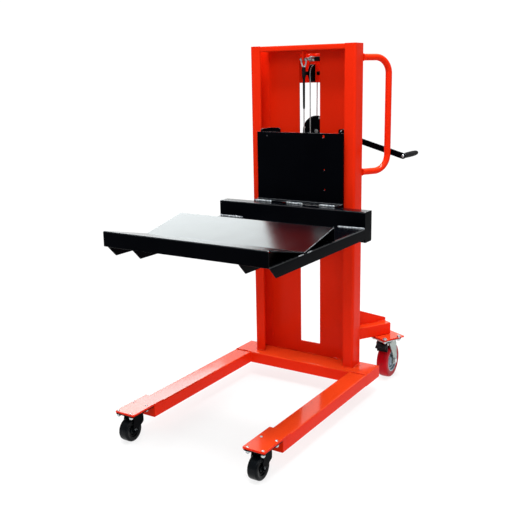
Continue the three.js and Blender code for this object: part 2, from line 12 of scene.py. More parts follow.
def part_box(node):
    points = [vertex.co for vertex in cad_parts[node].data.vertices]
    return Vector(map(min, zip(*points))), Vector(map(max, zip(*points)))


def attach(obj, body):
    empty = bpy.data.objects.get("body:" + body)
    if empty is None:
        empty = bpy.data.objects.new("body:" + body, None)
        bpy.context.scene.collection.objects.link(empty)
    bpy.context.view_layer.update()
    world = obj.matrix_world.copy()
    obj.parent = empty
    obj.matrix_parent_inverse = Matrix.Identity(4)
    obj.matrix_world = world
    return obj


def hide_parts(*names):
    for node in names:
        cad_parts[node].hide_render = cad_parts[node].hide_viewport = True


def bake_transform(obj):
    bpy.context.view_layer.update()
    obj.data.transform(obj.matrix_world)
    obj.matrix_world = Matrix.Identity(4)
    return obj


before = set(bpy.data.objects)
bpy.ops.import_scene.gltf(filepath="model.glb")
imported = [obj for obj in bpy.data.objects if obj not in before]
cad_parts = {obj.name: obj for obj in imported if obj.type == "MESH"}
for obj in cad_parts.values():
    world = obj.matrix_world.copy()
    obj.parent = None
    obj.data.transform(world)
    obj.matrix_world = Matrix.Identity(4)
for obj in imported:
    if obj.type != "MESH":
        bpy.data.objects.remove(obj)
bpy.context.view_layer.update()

# ---- where things are ----
# Millimetres from the middle of the mast's front face, on the floor. The load side is -Y.
MM = 0.001
X, Y, Z = (1, 0, 0), (0, 1, 0), (0, 0, 1)
PLATE_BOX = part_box("mast_back_plate")
ORIGIN = Vector((
    (PLATE_BOX[0].x + PLATE_BOX[1].x) / 2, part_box("mast_column_right")[0].y, 0,
))

GAP = 0.3
BASE_TOP, BASE_LOW = 110, 60
CROSS_HALF, CROSS_FRONT, CROSS_BACK = 320, -40, 90
LEG_INNER, LEG_OUTER, LEG_FRONT = 240, 320, -702
MAST_HALF, MAST_DEPTH, MAST_TOP = 238, 76, 1418
CHANNEL_FLANGE, CHANNEL_WALL = 46, 6
SLOT_HALF, SLOT_LOW, SLOT_HIGH = 47.5, 163, 1385
HEAD_LOW = 1396
SPLAY = math.radians(30)
OUTWARD = Vector((math.sin(SPLAY), math.cos(SPLAY), 0))
RAIL_CORNER, RAIL_LOW, RAIL_HIGH, RAIL_WIDTH, RAIL_LENGTH = 175, 189.6, 240.6, 50, 228
GUSSET_INSET, GUSSET_THICK, GUSSET_LOW, GUSSET_SLOPE = 37, 6, 14.4, 85 / 228
PLATE_TURN = math.radians(27)
REAR_PLATE = {"x": 283, "y": 250, "top": 189.3}
BEHIND_MAST = MAST_DEPTH + GAP
TUBE_RADIUS = 13
HANDLE_ROOT = Vector((232, 80, 0))
HANDLE_REACH, HANDLE_BEND, HANDLE_HIGH, HANDLE_LOW = 124, 63.5, 1365, 920
ROPE = 2.5
TOP_SHEAVE = {"y": 107, "z": 1308, "pitch": 30, "rim": 36, "bore": 8.6}
LOW_SHEAVE = {"y": 50, "z": 840, "pitch": 26, "rim": 31, "bore": 6.6}
SHEAVE_HALF = 8
SHACKLE_EYE = 1362
DEAD_Y = LOW_SHEAVE["y"] - LOW_SHEAVE["pitch"]
LIVE_Y = LOW_SHEAVE["y"] + LOW_SHEAVE["pitch"]
BOX_LOW, BOX_BACK, BOX_WALL = 1270, 154, 4
DRUM_X, DRUM_Z, CRANK_X, CRANK_Z, ROPE_Y, SHELF_TOP = 23, 1076, 98, 1048.2, 133, 996
PAWL_X, PAWL_Z = 48, 1085.3
CRANK_TIP_X, CRANK_TIP_Z, CRANK_FRONT, CRANK_THICK, GRIP_LENGTH = 350, 975, 214.3, 6, 145
PANEL_HALF, PANEL_FRONT, PANEL_TOP, PANEL_THICK, PANEL_LIP = 197.7, -21, 1077, 6, 34
BEAM_HALF, BEAM_FRONT, BEAM_BACK, BEAM_LOW, BEAM_TOP = 336, -107, -47, 673, 793
PANEL_SEAT = BEAM_TOP + GAP
PANEL_BACK = PANEL_FRONT + PANEL_THICK
ARM_INNER, ARM_OUTER, ARM_LOW, ARM_TOP, ARM_TIP = 218, 336.7, 687, 729, -799
CRADLE_HALF, CRADLE_BACK, CRADLE_VALLEY, CRADLE_FRONT = 340, -366, -580, -810
ROLLER_Y, ROLLER_LOW, ROLLER_HIGH = 38, 720, 1050
# trail: from the swivel axis to the axle. wheel: its radius. heel: points on the fork's rear edge.
FRONT_CASTER = {
    "x": 280, "y": -775, "trail": 22, "wheel": 43, "width": 41, "top": 105, "crown": 24, "leg": 3,
    "boss": 12, "clear": 1.6, "bore": 5.6, "nut": 13, "heel": [(25, 62), (26, 80)],
}
REAR_CASTER = {
    "x": 286, "y": 236, "trail": -22, "wheel": 76, "width": 50, "top": 178.7, "crown": 36, "leg": 4,
    "boss": 18, "clear": 2.5, "bore": 6.6, "nut": 19, "heel": [(46, 100), (44, 140)],
}
BRAKE = {"y": -42, "z": 167.7, "pin": 3, "half": 24}
REAR_YAW = {"left": -6, "right": 1}
SIDES = (("right", 1), ("left", -1))
DRUM_TEETH, PINION_TEETH, RATCHET_TEETH = 30, 10, 20
CRADLE_RIDGE_BACK, CRADLE_LOW, CRADLE_RIDGE_FRONT, CRADLE_FOOT = 782, 735, 786, 729.5
CRANK_HALF, CRANK_ROUND = 12.1, 11.8

# ---- camera, world and lamps ----
CAMERA_LENS = 53.59
CAMERA_SPOT = (1553.6, -2752.4, 1305.9)
CAMERA_ANGLES = (32.63, 13.46, -1.06)
WORLD_DIM, WORLD_WHITE = 0.38, 1.05
# Name, place and target in metres, size, power in watts, colour.
LAMPS = (
    ("key", (0.9, -3.0, 3.3), (0, 0, 0.7), (1.6, 1.6), 38, (1.0, 0.99, 0.98)),
    ("top", (0.2, -0.4, 4.6), (0.2, -0.4, 0), (2.0, 2.0), 270, (1, 1, 1)),
    ("side", (3.4, -0.6, 2.2), (0, 0, 0.7), (1.2, 1.6), 22, (1, 1, 1)),
    ("softbox", (-2.8, 1.9, 2.45), (0, -0.2, 0.5), (2.3, 1.9), 64, (0.92, 0.99, 1.0)),
)


# ---- mesh code ----
def rounded(corners, radius, steps=4):
    """A closed outline with its corners rounded. radius is one number, or one for each corner."""
    radii = radius if hasattr(radius, "__len__") else [radius] * len(corners)
    outline = []
    for i, (corner, r) in enumerate(zip(corners, radii)):
        here = Vector(corner)
        before = Vector(corners[i - 1]) - here
        after = Vector(corners[(i + 1) % len(corners)]) - here
        half = before.angle(after) / 2
        reach = min(r / math.tan(half), 0.49 * before.length, 0.49 * after.length) if r else 0
        if reach < 1e-3:
            outline.append((here.x, here.y))
            continue
        before.normalize()
        after.normalize()
        centre = here + (before + after).normalized() * (reach / math.cos(half))
        start, end = here + before * reach - centre, here + after * reach - centre
        turn = start.angle(end)
        for k in range(steps + 1):
            t = k / steps
            arm = (start * math.sin((1 - t) * turn) + end * math.sin(t * turn)) / math.sin(turn)
            outline.append((centre.x + arm.x, centre.y + arm.y))
    return outline


def bent_sheet(points, thick, bend, steps=4):
    """The outline of a sheet folded along points, which lie on its right-hand face as they run."""
    line = [Vector(p) for p in points]
    normals = []
    for a, b in zip(line, line[1:]):
        d = (b - a).normalized()
        normals.append(Vector((-d.y, d.x)))
    far, near_radius, far_radius = [], [], []
    for i, p in enumerate(line):
        n0, n1 = normals[max(i - 1, 0)], normals[min(i, len(normals) - 1)]
        m = (n0 + n1).normalized()
        far.append(p + m * (thick / m.dot(n0)))
        corner = 0 < i < len(line) - 1
        left_turn = n0.x * n1.y - n0.y * n1.x > 0
        near_radius.append((bend + thick if left_turn else bend) if corner else 0)
        far_radius.append((bend if left_turn else bend + thick) if corner else 0)
    corners = [tuple(p) for p in line] + [tuple(p) for p in reversed(far)]
    return rounded(corners, near_radius + far_radius[::-1], steps)


def soften(bm, width, segments=2, above=28):
    """Bevels every edge that turns by more than an angle in degrees."""
    if width:
        sharp = [e for e in bm.edges if e.is_manifold and e.calc_face_angle(0) > math.radians(above)]
        bmesh.ops.bevel(
            bm, geom=sharp, offset=width, offset_type="OFFSET", segments=segments,
            profile=0.5, affect="EDGES", clamp_overlap=True,
        )
    return bm


def prism(outline, low, high, axis, holes=(), bevel=0.8, segments=2):
    """An outline of (y, z), (x, z) or (x, y) points drawn out along axis X, Y or Z."""
    order = {"X": (2, 0, 1), "Y": (0, 2, 1), "Z": (0, 1, 2)}[axis]
    loops = [list(outline), *[list(hole) for hole in holes]]
    flat = [point for loop in loops for point in loop]
    bm = bmesh.new()

    def layer(level):
        rows = [(a, b, level) for a, b in flat]
        return [bm.verts.new([row[i] for i in order]) for row in rows]

    bottom, top = layer(low), layer(high)
    if holes:
        for tri in tessellate_polygon([[Vector((a, b, 0)) for a, b in loop] for loop in loops]):
            bm.faces.new([bottom[i] for i in tri])
            bm.faces.new([top[i] for i in reversed(tri)])
    else:
        bm.faces.new(bottom)
        bm.faces.new(top)
    first = 0
    for loop in loops:
        for i in range(len(loop)):
            a, b = first + i, first + (i + 1) % len(loop)
            bm.faces.new((bottom[a], bottom[b], top[b], top[a]))
        first += len(loop)
    bmesh.ops.recalc_face_normals(bm, faces=bm.faces)
    return soften(bm, bevel, segments)


def rectangle(a0, a1, b0, b1):
    return [(a0, b0), (a1, b0), (a1, b1), (a0, b1)]


def circle(a, b, radius, steps=24):
    return [
        (a + radius * math.cos(2 * math.pi * i / steps), b + radius * math.sin(2 * math.pi * i / steps))
        for i in range(steps)
    ]


def block(x0, x1, y0, y1, z0, z1, bevel=0.8, segments=2):
    return prism(rectangle(x0, x1, y0, y1), z0, z1, "Z", bevel=bevel, segments=segments)


def frames(path):
    """Each point of a path, with two directions square to it that don't twist."""
    points = [Vector(p) for p in path]
    last = len(points) - 1
    tangents = [(points[min(i + 1, last)] - points[max(i - 1, 0)]).normalized() for i in range(last + 1)]
    side = tangents[0].orthogonal().normalized()
    found = []
    for point, tangent in zip(points, tangents):
        side = (side - tangent * side.dot(tangent)).normalized()
        found.append((point, side, tangent.cross(side)))
    return found


def round_section(point, u, v, radius, count):
    """Points on a circle round a point, in the plane of u and v."""
    turns = [2 * math.pi * k / count for k in range(count)]
    return [point + radius * (math.cos(a) * u + math.sin(a) * v) for a in turns]


def sweep(path, radius, sides=12):
    """A round bar along a path. radius is one number, or one for each point."""
    bm = bmesh.new()
    rings = []
    for i, (point, u, v) in enumerate(frames(path)):
        r = radius[i] if hasattr(radius, "__len__") else radius
        rings.append([bm.verts.new(spot) for spot in round_section(point, u, v, r, sides)])
    for a, b in zip(rings, rings[1:]):
        for k in range(sides):
            j = (k + 1) % sides
            bm.faces.new((a[k], a[j], b[j], b[k]))
    bm.faces.new(rings[0][::-1])
    bm.faces.new(rings[-1])
    return bm


def lathe(profile, centre, axis, steps=48, ring=False):
    """(radius, distance along the axis) points turned round an axis. A ring's last point joins its first."""
    along = Vector(axis).normalized()
    u = along.orthogonal().normalized()
    v = along.cross(u)
    bm = bmesh.new()
    rows = []
    for radius, far in profile:
        middle = Vector(centre) + along * far
        if radius < 1e-6:
            rows.append([bm.verts.new(middle)] * steps)
            continue
        rows.append([bm.verts.new(spot) for spot in round_section(middle, u, v, radius, steps)])
    pairs = list(zip(rows, rows[1:])) + ([(rows[-1], rows[0])] if ring else [])
    for a, b in pairs:
        for k in range(steps):
            j = (k + 1) % steps
            corners = list(dict.fromkeys((a[k], a[j], b[j], b[k])))
            if len(corners) > 2:
                bm.faces.new(corners)
    bmesh.ops.recalc_face_normals(bm, faces=bm.faces)
    return bm


def soft_lathe(profile, centre, axis, soft=0.8, steps=48, ring=False):
    """A lathe whose profile corners are rounded."""
    outline = rounded(profile, soft, 3) if ring else rounded_path(profile, soft)
    return lathe(outline, centre, axis, steps, ring)


def rounded_path(points, radius, steps=3):
    """An open path with its inner corners rounded."""
    return rounded(points, [0] + [radius] * (len(points) - 2) + [0], steps)


def rod(radius, low, high, centre, axis, steps=24):
    """A plain round bar, low to high along an axis from a centre."""
    return lathe([(0, low), (radius, low), (radius, high), (0, high)], centre, axis, steps)


def join(*parts):
    whole = parts[0]
    for part in parts[1:]:
        mesh = bpy.data.meshes.new("part")
        part.to_mesh(mesh)
        part.free()
        whole.from_mesh(mesh)
        bpy.data.meshes.remove(mesh)
    return whole


def boolean(operation, whole, *tools):
    """The UNION, DIFFERENCE or INTERSECT of meshes."""
    held = []
    for bm in (whole, *tools):
        mesh = bpy.data.meshes.new("held")
        bm.to_mesh(mesh)
        bm.free()
        obj = bpy.data.objects.new("held", mesh)
        bpy.context.scene.collection.objects.link(obj)
        held.append(obj)
    for tool in held[1:]:
        modifier = held[0].modifiers.new("boolean", "BOOLEAN")
        modifier.operation = operation
        modifier.solver = "EXACT"
        modifier.object = tool
    graph = bpy.context.evaluated_depsgraph_get()
    made = bpy.data.meshes.new_from_object(held[0].evaluated_get(graph))
    bm = bmesh.new()
    bm.from_mesh(made)
    for obj in held:
        mesh = obj.data
        bpy.data.objects.remove(obj)
        bpy.data.meshes.remove(mesh)
    bpy.data.meshes.remove(made)
    bmesh.ops.remove_doubles(bm, verts=bm.verts, dist=1e-3)
    bmesh.ops.dissolve_limit(bm, angle_limit=math.radians(1), verts=bm.verts, edges=bm.edges)
    return bm


def moved(bm, matrix):
    bm.transform(matrix)
    if matrix.determinant() < 0:
        bmesh.ops.reverse_faces(bm, faces=bm.faces)
    return bm


def mirrored(bm):
    return moved(bm, Matrix.Scale(-1, 4, X))


def aim(centre, axis):
    """The matrix that puts a shape drawn up the Z axis at a point, along an axis."""
    turn = Vector(Z).rotation_difference(Vector(axis)).to_matrix().to_4x4()
    return Matrix.Translation(Vector(centre)) @ turn


def hex_bolt(centre, axis, across, height, washer=0.0, stub=0.0, spin=0.0):
    """A hexagon head or nut on a washer, with the bolt's end standing out of it."""
    corner = across / math.sqrt(3)
    turns = [spin + math.pi * i / 3 for i in range(6)]
    hexagon = [(corner * math.cos(a), corner * math.sin(a)) for a in turns]
    low = 1.6 if washer else 0
    head = prism(hexagon, low, low + height, "Z", bevel=0.07 * across, segments=2)
    parts = [head]
    if washer:
        disc = [(0, 0), (washer - 0.4, 0), (washer, 0.4), (washer, 1.2), (washer - 0.4, 1.6), (0, 1.6)]
        parts.append(lathe(disc, (0, 0, 0), Z, 28))
    if stub:
        r = 0.29 * across
        ridges = [(0, low)]
        top = low + height + stub
        z = low + height - 1
        while z < top - 1.5:
            ridges += [(r, z), (r - 0.35, z + 0.6)]
            z += 1.2
        ridges += [(r, top - 1), (r - 0.9, top), (0, top)]
        parts.append(lathe(ridges, (0, 0, 0), Z, 20))
    return moved(join(*parts), aim(centre, axis))


def resampled(path, step):
    points = [Vector(p) for p in path]
    found = [points[0]]
    for a, b in zip(points, points[1:]):
        count = max(1, round((b - a).length / step))
        found += [a.lerp(b, (k + 1) / count) for k in range(count)]
    return found


def weld(path, radius=3.0, pitch=3.4, seed=1):
    """A weld bead with the ripples that its puddle leaves."""
    chance = random.Random(seed)
    points = resampled(path, pitch / 4)
    radii = []
    for i, point in enumerate(points):
        ripple = 0.86 + 0.14 * abs(math.cos(math.pi * i / 4))
        ends = min(1.0, 0.45 + 0.25 * min(i, len(points) - 1 - i))
        radii.append(radius * ripple * ends * chance.uniform(0.96, 1.04))
        point += Vector([chance.uniform(-0.16, 0.16) for _ in range(3)])
    return sweep(points, radii, 8)


def rope(path, radius=ROPE, lay=26.0, strands=6):
    """A wire rope: strands laid round a path."""
    points = frames(resampled(path, lay / 10))
    travelled = [0.0]
    for (a, _, _), (b, _, _) in zip(points, points[1:]):
        travelled.append(travelled[-1] + (b - a).length)
    parts = []
    for s in range(strands):
        line = []
        for (point, u, v), far in zip(points, travelled):
            angle = 2 * math.pi * (far / lay + s / strands)
            line.append(point + 0.62 * radius * (math.cos(angle) * u + math.sin(angle) * v))
        parts.append(sweep(line, 0.38 * radius, 6))
    return join(*parts)


def arc(centre, u, v, radius, start, end, steps=12):
    """Points on part of a circle in the plane of u and v; angles in degrees."""
    found = []
    for i in range(steps + 1):
        angle = math.radians(start + (end - start) * i / steps)
        found.append(Vector(centre) + radius * (math.cos(angle) * Vector(u) + math.sin(angle) * Vector(v)))
    return found


# ---- materials ----
class Surface:
    """A procedural material: a Principled shader, and the nodes that vary it over the surface."""

    def __init__(self, name, **inputs):
        self.material = bpy.data.materials.new(name)
        self.material.use_nodes = True
        self.nodes = self.material.node_tree.nodes
        self.links = self.material.node_tree.links
        self.shader = self.nodes["Principled BSDF"]
        for key, value in inputs.items():
            self.shader.inputs[key.replace("_", " ")].default_value = value
        self.place = self.add("TexCoord").outputs["Object"]
        self.normal = None

    def add(self, kind, **settings):
        node = self.nodes.new("ShaderNode" + kind)
        for key, value in settings.items():
            setattr(node, key, value)
        return node

    def noise(self, scale, detail=3.0, rough=0.5, stretch=None):
        node = self.add("TexNoise")
        node.inputs["Scale"].default_value = scale
        node.inputs["Detail"].default_value = detail
        node.inputs["Roughness"].default_value = rough
        place = self.place
        if stretch:
            mapping = self.add("Mapping")
            mapping.inputs["Scale"].default_value = stretch
            self.links.new(place, mapping.inputs["Vector"])
            place = mapping.outputs["Vector"]
        self.links.new(place, node.inputs["Vector"])
        return node.outputs["Fac"]

    def ramp(self, value, low, high, out_low=0.0, out_high=1.0):
        node = self.add("MapRange")
        for key, number in (
            ("From Min", low), ("From Max", high), ("To Min", out_low), ("To Max", out_high),
        ):
            node.inputs[key].default_value = number
        self.links.new(value, node.inputs["Value"])
        return node.outputs["Result"]

    def times(self, a, b):
        node = self.add("Math", operation="MULTIPLY")
        self.links.new(a, node.inputs[0])
        self.links.new(b, node.inputs[1])
        return node.outputs["Value"]

    def mix(self, factor, a, b):
        """A colour between a and b, each a colour or an output."""
        node = self.add("Mix", data_type="RGBA")
        self.links.new(factor, node.inputs["Factor"])
        for key, colour in (("A", a), ("B", b)):
            socket = [s for s in node.inputs if s.name == key and s.type == "RGBA"][0]
            if isinstance(colour, tuple):
                socket.default_value = (*colour, 1)
            else:
                self.links.new(colour, socket)
        return [s for s in node.outputs if s.type == "RGBA"][0]

    def edges(self, radius=0.002):
        """Near 1 along edges and corners, where paint wears, and where edge highlights are painted."""
        bevel = self.add("Bevel", samples=4)
        bevel.inputs["Radius"].default_value = radius
        dot = self.add("VectorMath", operation="DOT_PRODUCT")
        self.links.new(bevel.outputs["Normal"], dot.inputs[0])
        self.links.new(self.add("NewGeometry").outputs["Normal"], dot.inputs[1])
        return self.ramp(dot.outputs["Value"], 0.985, 0.86)

    def hollow_shade_and_grime(self, reach=0.012):
        """Near 1 in inner corners and grooves: where shade is painted, and where dirt stays."""
        shade = self.add("AmbientOcclusion", samples=4)
        shade.inputs["Distance"].default_value = reach
        return self.ramp(shade.outputs["AO"], 0.75, 0.3)

    def upward(self):
        """Near 1 on faces that look up, which are wiped clean and stay glossy; it also paints light from
        above into the red's colour and into edge highlights.
        """
        split = self.add("SeparateXYZ")
        self.links.new(self.nodes["Texture Coordinate"].outputs["Normal"], split.inputs[0])
        return self.ramp(split.outputs["Z"], 0.35, 0.8)

    def gloss(self, rough_low, rough_high, dull=0.15, bright=0.5):
        """Glossy where it faces up and duller on its sides, with an uneven roughness."""
        up = self.upward()
        self.links.new(self.ramp(up, 0, 1, dull, bright), self.shader.inputs["Specular IOR Level"])
        uneven = self.ramp(self.noise(12, 3), 0.3, 0.7, rough_low, rough_high)
        self.roughness(self.times(uneven, self.ramp(up, 0, 1, 1.0, 0.5)))

    def colour(self, output):
        self.links.new(output, self.shader.inputs["Base Color"])

    def roughness(self, output):
        self.links.new(output, self.shader.inputs["Roughness"])

    def bump(self, height, distance, strength=1.0):
        """Adds a layer of relief; distance is its depth in metres."""
        node = self.add("Bump")
        node.inputs["Distance"].default_value = distance
        node.inputs["Strength"].default_value = strength
        self.links.new(height, node.inputs["Height"])
        if self.normal:
            self.links.new(self.normal, node.inputs["Normal"])
        self.normal = node.outputs["Normal"]
        self.links.new(self.normal, self.shader.inputs["Normal"])


def red_enamel():
    s = Surface("red_enamel")
    wide = s.ramp(s.noise(2.5, 3), 0.35, 0.65)
    body = s.mix(wide, (0.80, 0.020, 0.003), (0.86, 0.024, 0.004))
    # Painted light: faces that look up get a lighter, more orange red, as if lit from above.
    body = s.mix(s.upward(), body, (0.84, 0.062, 0.011))
    fine = s.ramp(s.noise(170, 2), 0.35, 0.7, 0, 0.25)
    body = s.mix(fine, body, (0.70, 0.020, 0.003))
    # Upper edges painted pale: edge wear, and a painted highlight where the edges catch the light.
    edge_wear_and_highlight = s.times(s.times(s.edges(), s.upward()), s.ramp(s.noise(60, 5), 0.42, 0.60, 0, 0.7))
    body = s.mix(edge_wear_and_highlight, body, (0.95, 0.30, 0.20))
    # Painted shade and grime: inner corners and grooves painted darker.
    body = s.mix(s.times(s.hollow_shade_and_grime(), s.ramp(s.noise(35, 4), 0.4, 0.7, 0, 0.5)), body, (0.33, 0.010, 0.004))
    s.colour(body)
    s.gloss(0.20, 0.27, dull=0.04, bright=0.42)
    s.bump(s.noise(420, 2), 0.00012, 0.15)
    s.bump(s.noise(9, 2), 0.003, 0.04)
    return s.material


def black_powder():
    s = Surface("black_powder_coat")
    body = s.mix(s.ramp(s.noise(3, 3), 0.35, 0.65), (0.0004, 0.0006, 0.0014), (0.0010, 0.0014, 0.0026))
    body = s.mix(s.ramp(s.noise(800, 2), 0.55, 0.75, 0, 0.3), body, (0.002, 0.003, 0.004))
    # Upper edges painted pale grey: edge wear, and a painted highlight where the edges catch the light.
    edge_wear_and_highlight = s.times(s.times(s.edges(0.007), s.upward()), s.ramp(s.noise(70, 5), 0.34, 0.5, 0.2, 0.6))
    body = s.mix(edge_wear_and_highlight, body, (0.50, 0.55, 0.58))
    s.colour(body)
    s.gloss(0.34, 0.42, dull=0.02, bright=0.38)
    s.bump(s.noise(900, 2), 0.0001, 0.2)
    s.bump(s.noise(7, 2), 0.003, 0.03)
    return s.material


def bright_zinc(name="bright_zinc", colour=(0.60, 0.645, 0.66), rough=(0.24, 0.42)):
    s = Surface(name, Metallic=1.0)
    body = s.mix(s.ramp(s.noise(90, 4), 0.35, 0.65), colour, tuple(0.8 * c for c in colour))
    body = s.mix(s.ramp(s.noise(30, 3), 0.5, 0.8, 0, 0.25), body, (0.62, 0.60, 0.50))
    # Painted shade and grime: hollows painted dark grey.
    body = s.mix(s.times(s.hollow_shade_and_grime(), s.ramp(s.noise(120, 3), 0.3, 0.7, 0.2, 0.8)), body, (0.12, 0.12, 0.12))
    s.colour(body)
    s.roughness(s.ramp(s.noise(140, 4), 0.3, 0.7, *rough))
    s.bump(s.noise(600, 3), 0.0001, 0.25)
    return s.material


def weld_metal():
    s = Surface("bare_weld", Metallic=0.7)
    body = s.mix(s.ramp(s.noise(160, 4), 0.35, 0.6), (0.93, 0.96, 0.98), (0.20, 0.24, 0.28))
    s.colour(body)
    s.roughness(s.ramp(s.noise(300, 3), 0.3, 0.7, 0.22, 0.5))
    s.bump(s.noise(500, 4), 0.0004, 0.5)
    return s.material


def wire_rope():
    s = Surface("wire_rope", Metallic=0.9)
    body = s.mix(s.ramp(s.noise(200, 3), 0.3, 0.7), (0.42, 0.44, 0.45), (0.62, 0.65, 0.66))
    # Painted shade: the grooves between the strands painted nearly black.
    s.colour(s.mix(s.hollow_shade_and_grime(0.002), body, (0.05, 0.05, 0.05)))
    s.roughness(s.ramp(s.noise(500, 2), 0.3, 0.7, 0.32, 0.5))
    s.bump(s.noise(2600, 1, stretch=(1, 1, 0.2)), 0.0001, 0.4)
    return s.material


def soft_black(name="black_rubber", rough=(0.5, 0.7), colour=(0.003, 0.003, 0.004)):
    s = Surface(name, IOR=1.2)
    pale = tuple(2.4 * c for c in colour)
    body = s.mix(s.ramp(s.noise(40, 5), 0.45, 0.75), colour, pale)
    body = s.mix(s.times(s.edges(), s.ramp(s.noise(90, 3), 0.45, 0.65, 0, 0.5)), body, (0.03, 0.03, 0.03))
    s.colour(body)
    s.roughness(s.ramp(s.noise(60, 4), 0.3, 0.7, *rough))
    s.bump(s.noise(1500, 2), 0.00015, 0.35)
    return s.material


def red_tread():
    s = Surface("red_polyurethane", IOR=1.2)
    body = s.mix(s.ramp(s.noise(18, 4), 0.35, 0.65), (0.33, 0.0004, 0.005), (0.42, 0.0010, 0.008))
    dirt = s.ramp(s.noise(55, 6), 0.52, 0.72, 0, 0.45)
    s.colour(s.mix(dirt, body, (0.12, 0.004, 0.008)))
    s.roughness(s.ramp(s.noise(45, 4), 0.3, 0.7, 0.28, 0.48))
    s.bump(s.noise(900, 2), 0.00015, 0.25)
    return s.material


def hub_plastic():
    s = Surface("grey_hub", Metallic=0.25)
    body = s.mix(s.ramp(s.noise(60, 4), 0.35, 0.65), (0.25, 0.32, 0.38), (0.36, 0.43, 0.49))
    # Painted shade and grime: the hub's recesses painted darker.
    s.colour(s.mix(s.hollow_shade_and_grime(), body, (0.03, 0.035, 0.04)))
    s.roughness(s.ramp(s.noise(80, 4), 0.3, 0.7, 0.3, 0.5))
    s.bump(s.noise(700, 2), 0.00015, 0.3)
    return s.material


def pale_floor():
    """White round the object, and fading away into the studio's white."""
    s = Surface("floor", Roughness=0.9, IOR=1.1, Emission_Color=(1, 1, 1, 1), Emission_Strength=0.8)
    s.colour(s.mix(s.ramp(s.noise(2, 3), 0.3, 0.7), (0.19, 0.19, 0.19), (0.21, 0.21, 0.21)))
    far = s.add("VectorMath", operation="LENGTH")
    s.links.new(s.place, far.inputs[0])
    fade = s.ramp(far.outputs["Value"], 1.5, 3.2)
    clear, blend = s.add("BsdfTransparent"), s.add("MixShader")
    s.links.new(fade, blend.inputs["Fac"])
    s.links.new(s.shader.outputs["BSDF"], blend.inputs[1])
    s.links.new(clear.outputs["BSDF"], blend.inputs[2])
    s.links.new(blend.outputs["Shader"], s.nodes["Material Output"].inputs["Surface"])
    return s.material


# Each finish: its material, and the record's slot that it stands for.
FINISHES = {
    "fork_zinc": (bright_zinc("fork_zinc", (0.34, 0.40, 0.385), (0.3, 0.45)), "zinc_plate"),
    "red": (red_enamel(), "red_paint"),
    "black": (black_powder(), "black_powder_coat"),
    "zinc": (bright_zinc(), "zinc_plate"),
    "weld": (weld_metal(), "zinc_plate"),
    "rope": (wire_rope(), "cable_steel"),
    "grip": (soft_black(), "black_grip"),
    "red_tyre": (red_tread(), "red_caster_tyre"),
    "black_tyre": (soft_black("black_tread", (0.22, 0.34), (0.0012, 0.0020, 0.0028)), "black_caster_tyre"),
    "hub": (hub_plastic(), "red_caster_tyre"),
}


def piece(name, bm, body, finish, replaces=(), smooth=38, weighted=True):
    """Makes a Blender object of a mesh drawn in millimetres, and lets it ride on a body."""
    bm.transform(Matrix.Translation(ORIGIN) @ Matrix.Diagonal((MM, MM, MM, 1)))
    mesh = bpy.data.meshes.new(name)
    bm.to_mesh(mesh)
    bm.free()
    mesh.shade_smooth()
    mesh.set_sharp_from_angle(angle=math.radians(smooth))
    material, slot = FINISHES[finish]
    mesh.materials.append(material)
    obj = bpy.data.objects.new(name, mesh)
    bpy.context.scene.collection.objects.link(obj)
    if obj.name != name:
        raise ValueError(f"two pieces are named {name}")
    if weighted:
        normals = obj.modifiers.new("normals", "WEIGHTED_NORMAL")
        normals.keep_sharp = True
    if isinstance(body, str):
        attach(obj, body)
    else:
        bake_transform(obj)
    nodes = [replaces] if isinstance(replaces, str) else list(replaces)
    if nodes:
        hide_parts(*nodes)
    return obj


def pair(name, bm, body, finish, node="", **options):
    """A right-hand piece and its mirror image. node is the CAD nodes' name without their side."""
    other = mirrored(bm.copy())
    for (side, _), mesh in zip(SIDES, (bm, other)):
        piece(f"{name}_{side}", mesh, body, finish, [f"{node}_{side}"] if node else [], **options)


# ---- base ----
def base():
    tube = rounded(rectangle(CROSS_FRONT, CROSS_BACK, BASE_LOW, BASE_TOP), 6)
    bar = prism(tube, -CROSS_HALF, CROSS_HALF, "X", bevel=1.6)
    piece("base_tube", bar, "chassis", "red", "base_cross_tube")
    leg = rounded(rectangle(LEG_INNER, LEG_OUTER, BASE_LOW, BASE_TOP), 5)
    pair("straddle_leg", prism(leg, LEG_FRONT, CROSS_FRONT - GAP, "Y", bevel=1.4), "chassis", "red", "leg")
    toe = prism(rounded(rectangle(236, 323, -825, -653), 3), BASE_TOP + GAP, 118, "Z", bevel=0.9)
    pair("toe_plate", toe, "chassis", "red", "leg_plate")
    spots = [(x, y) for x in (253, 313) for y in (-818, -733)]
    dome = [(0, 2.6), (2.6, 2.3), (4.6, 1.2), (5.2, 0), (5.2, -0.3), (0, -0.3)]
    heads = [lathe(dome, (x, y, 118), Z, 24) for x, y in spots]
    pair("toe_bolt_heads", join(*heads), "chassis", "zinc")
    nuts = [hex_bolt((x, y, 105.3), (0, 0, -1), 13, 6.5, washer=8, stub=3, spin=x) for x, y in spots]
    pair("toe_bolt_nuts", join(*nuts), "chassis", "zinc")
    mount = prism(rounded(rectangle(238, 322, -825, -705), 6), 105.3, 109.7, "Z", bevel=0.8)
    pair("front_caster_mount", mount, "chassis", "black", "front_caster_plate")


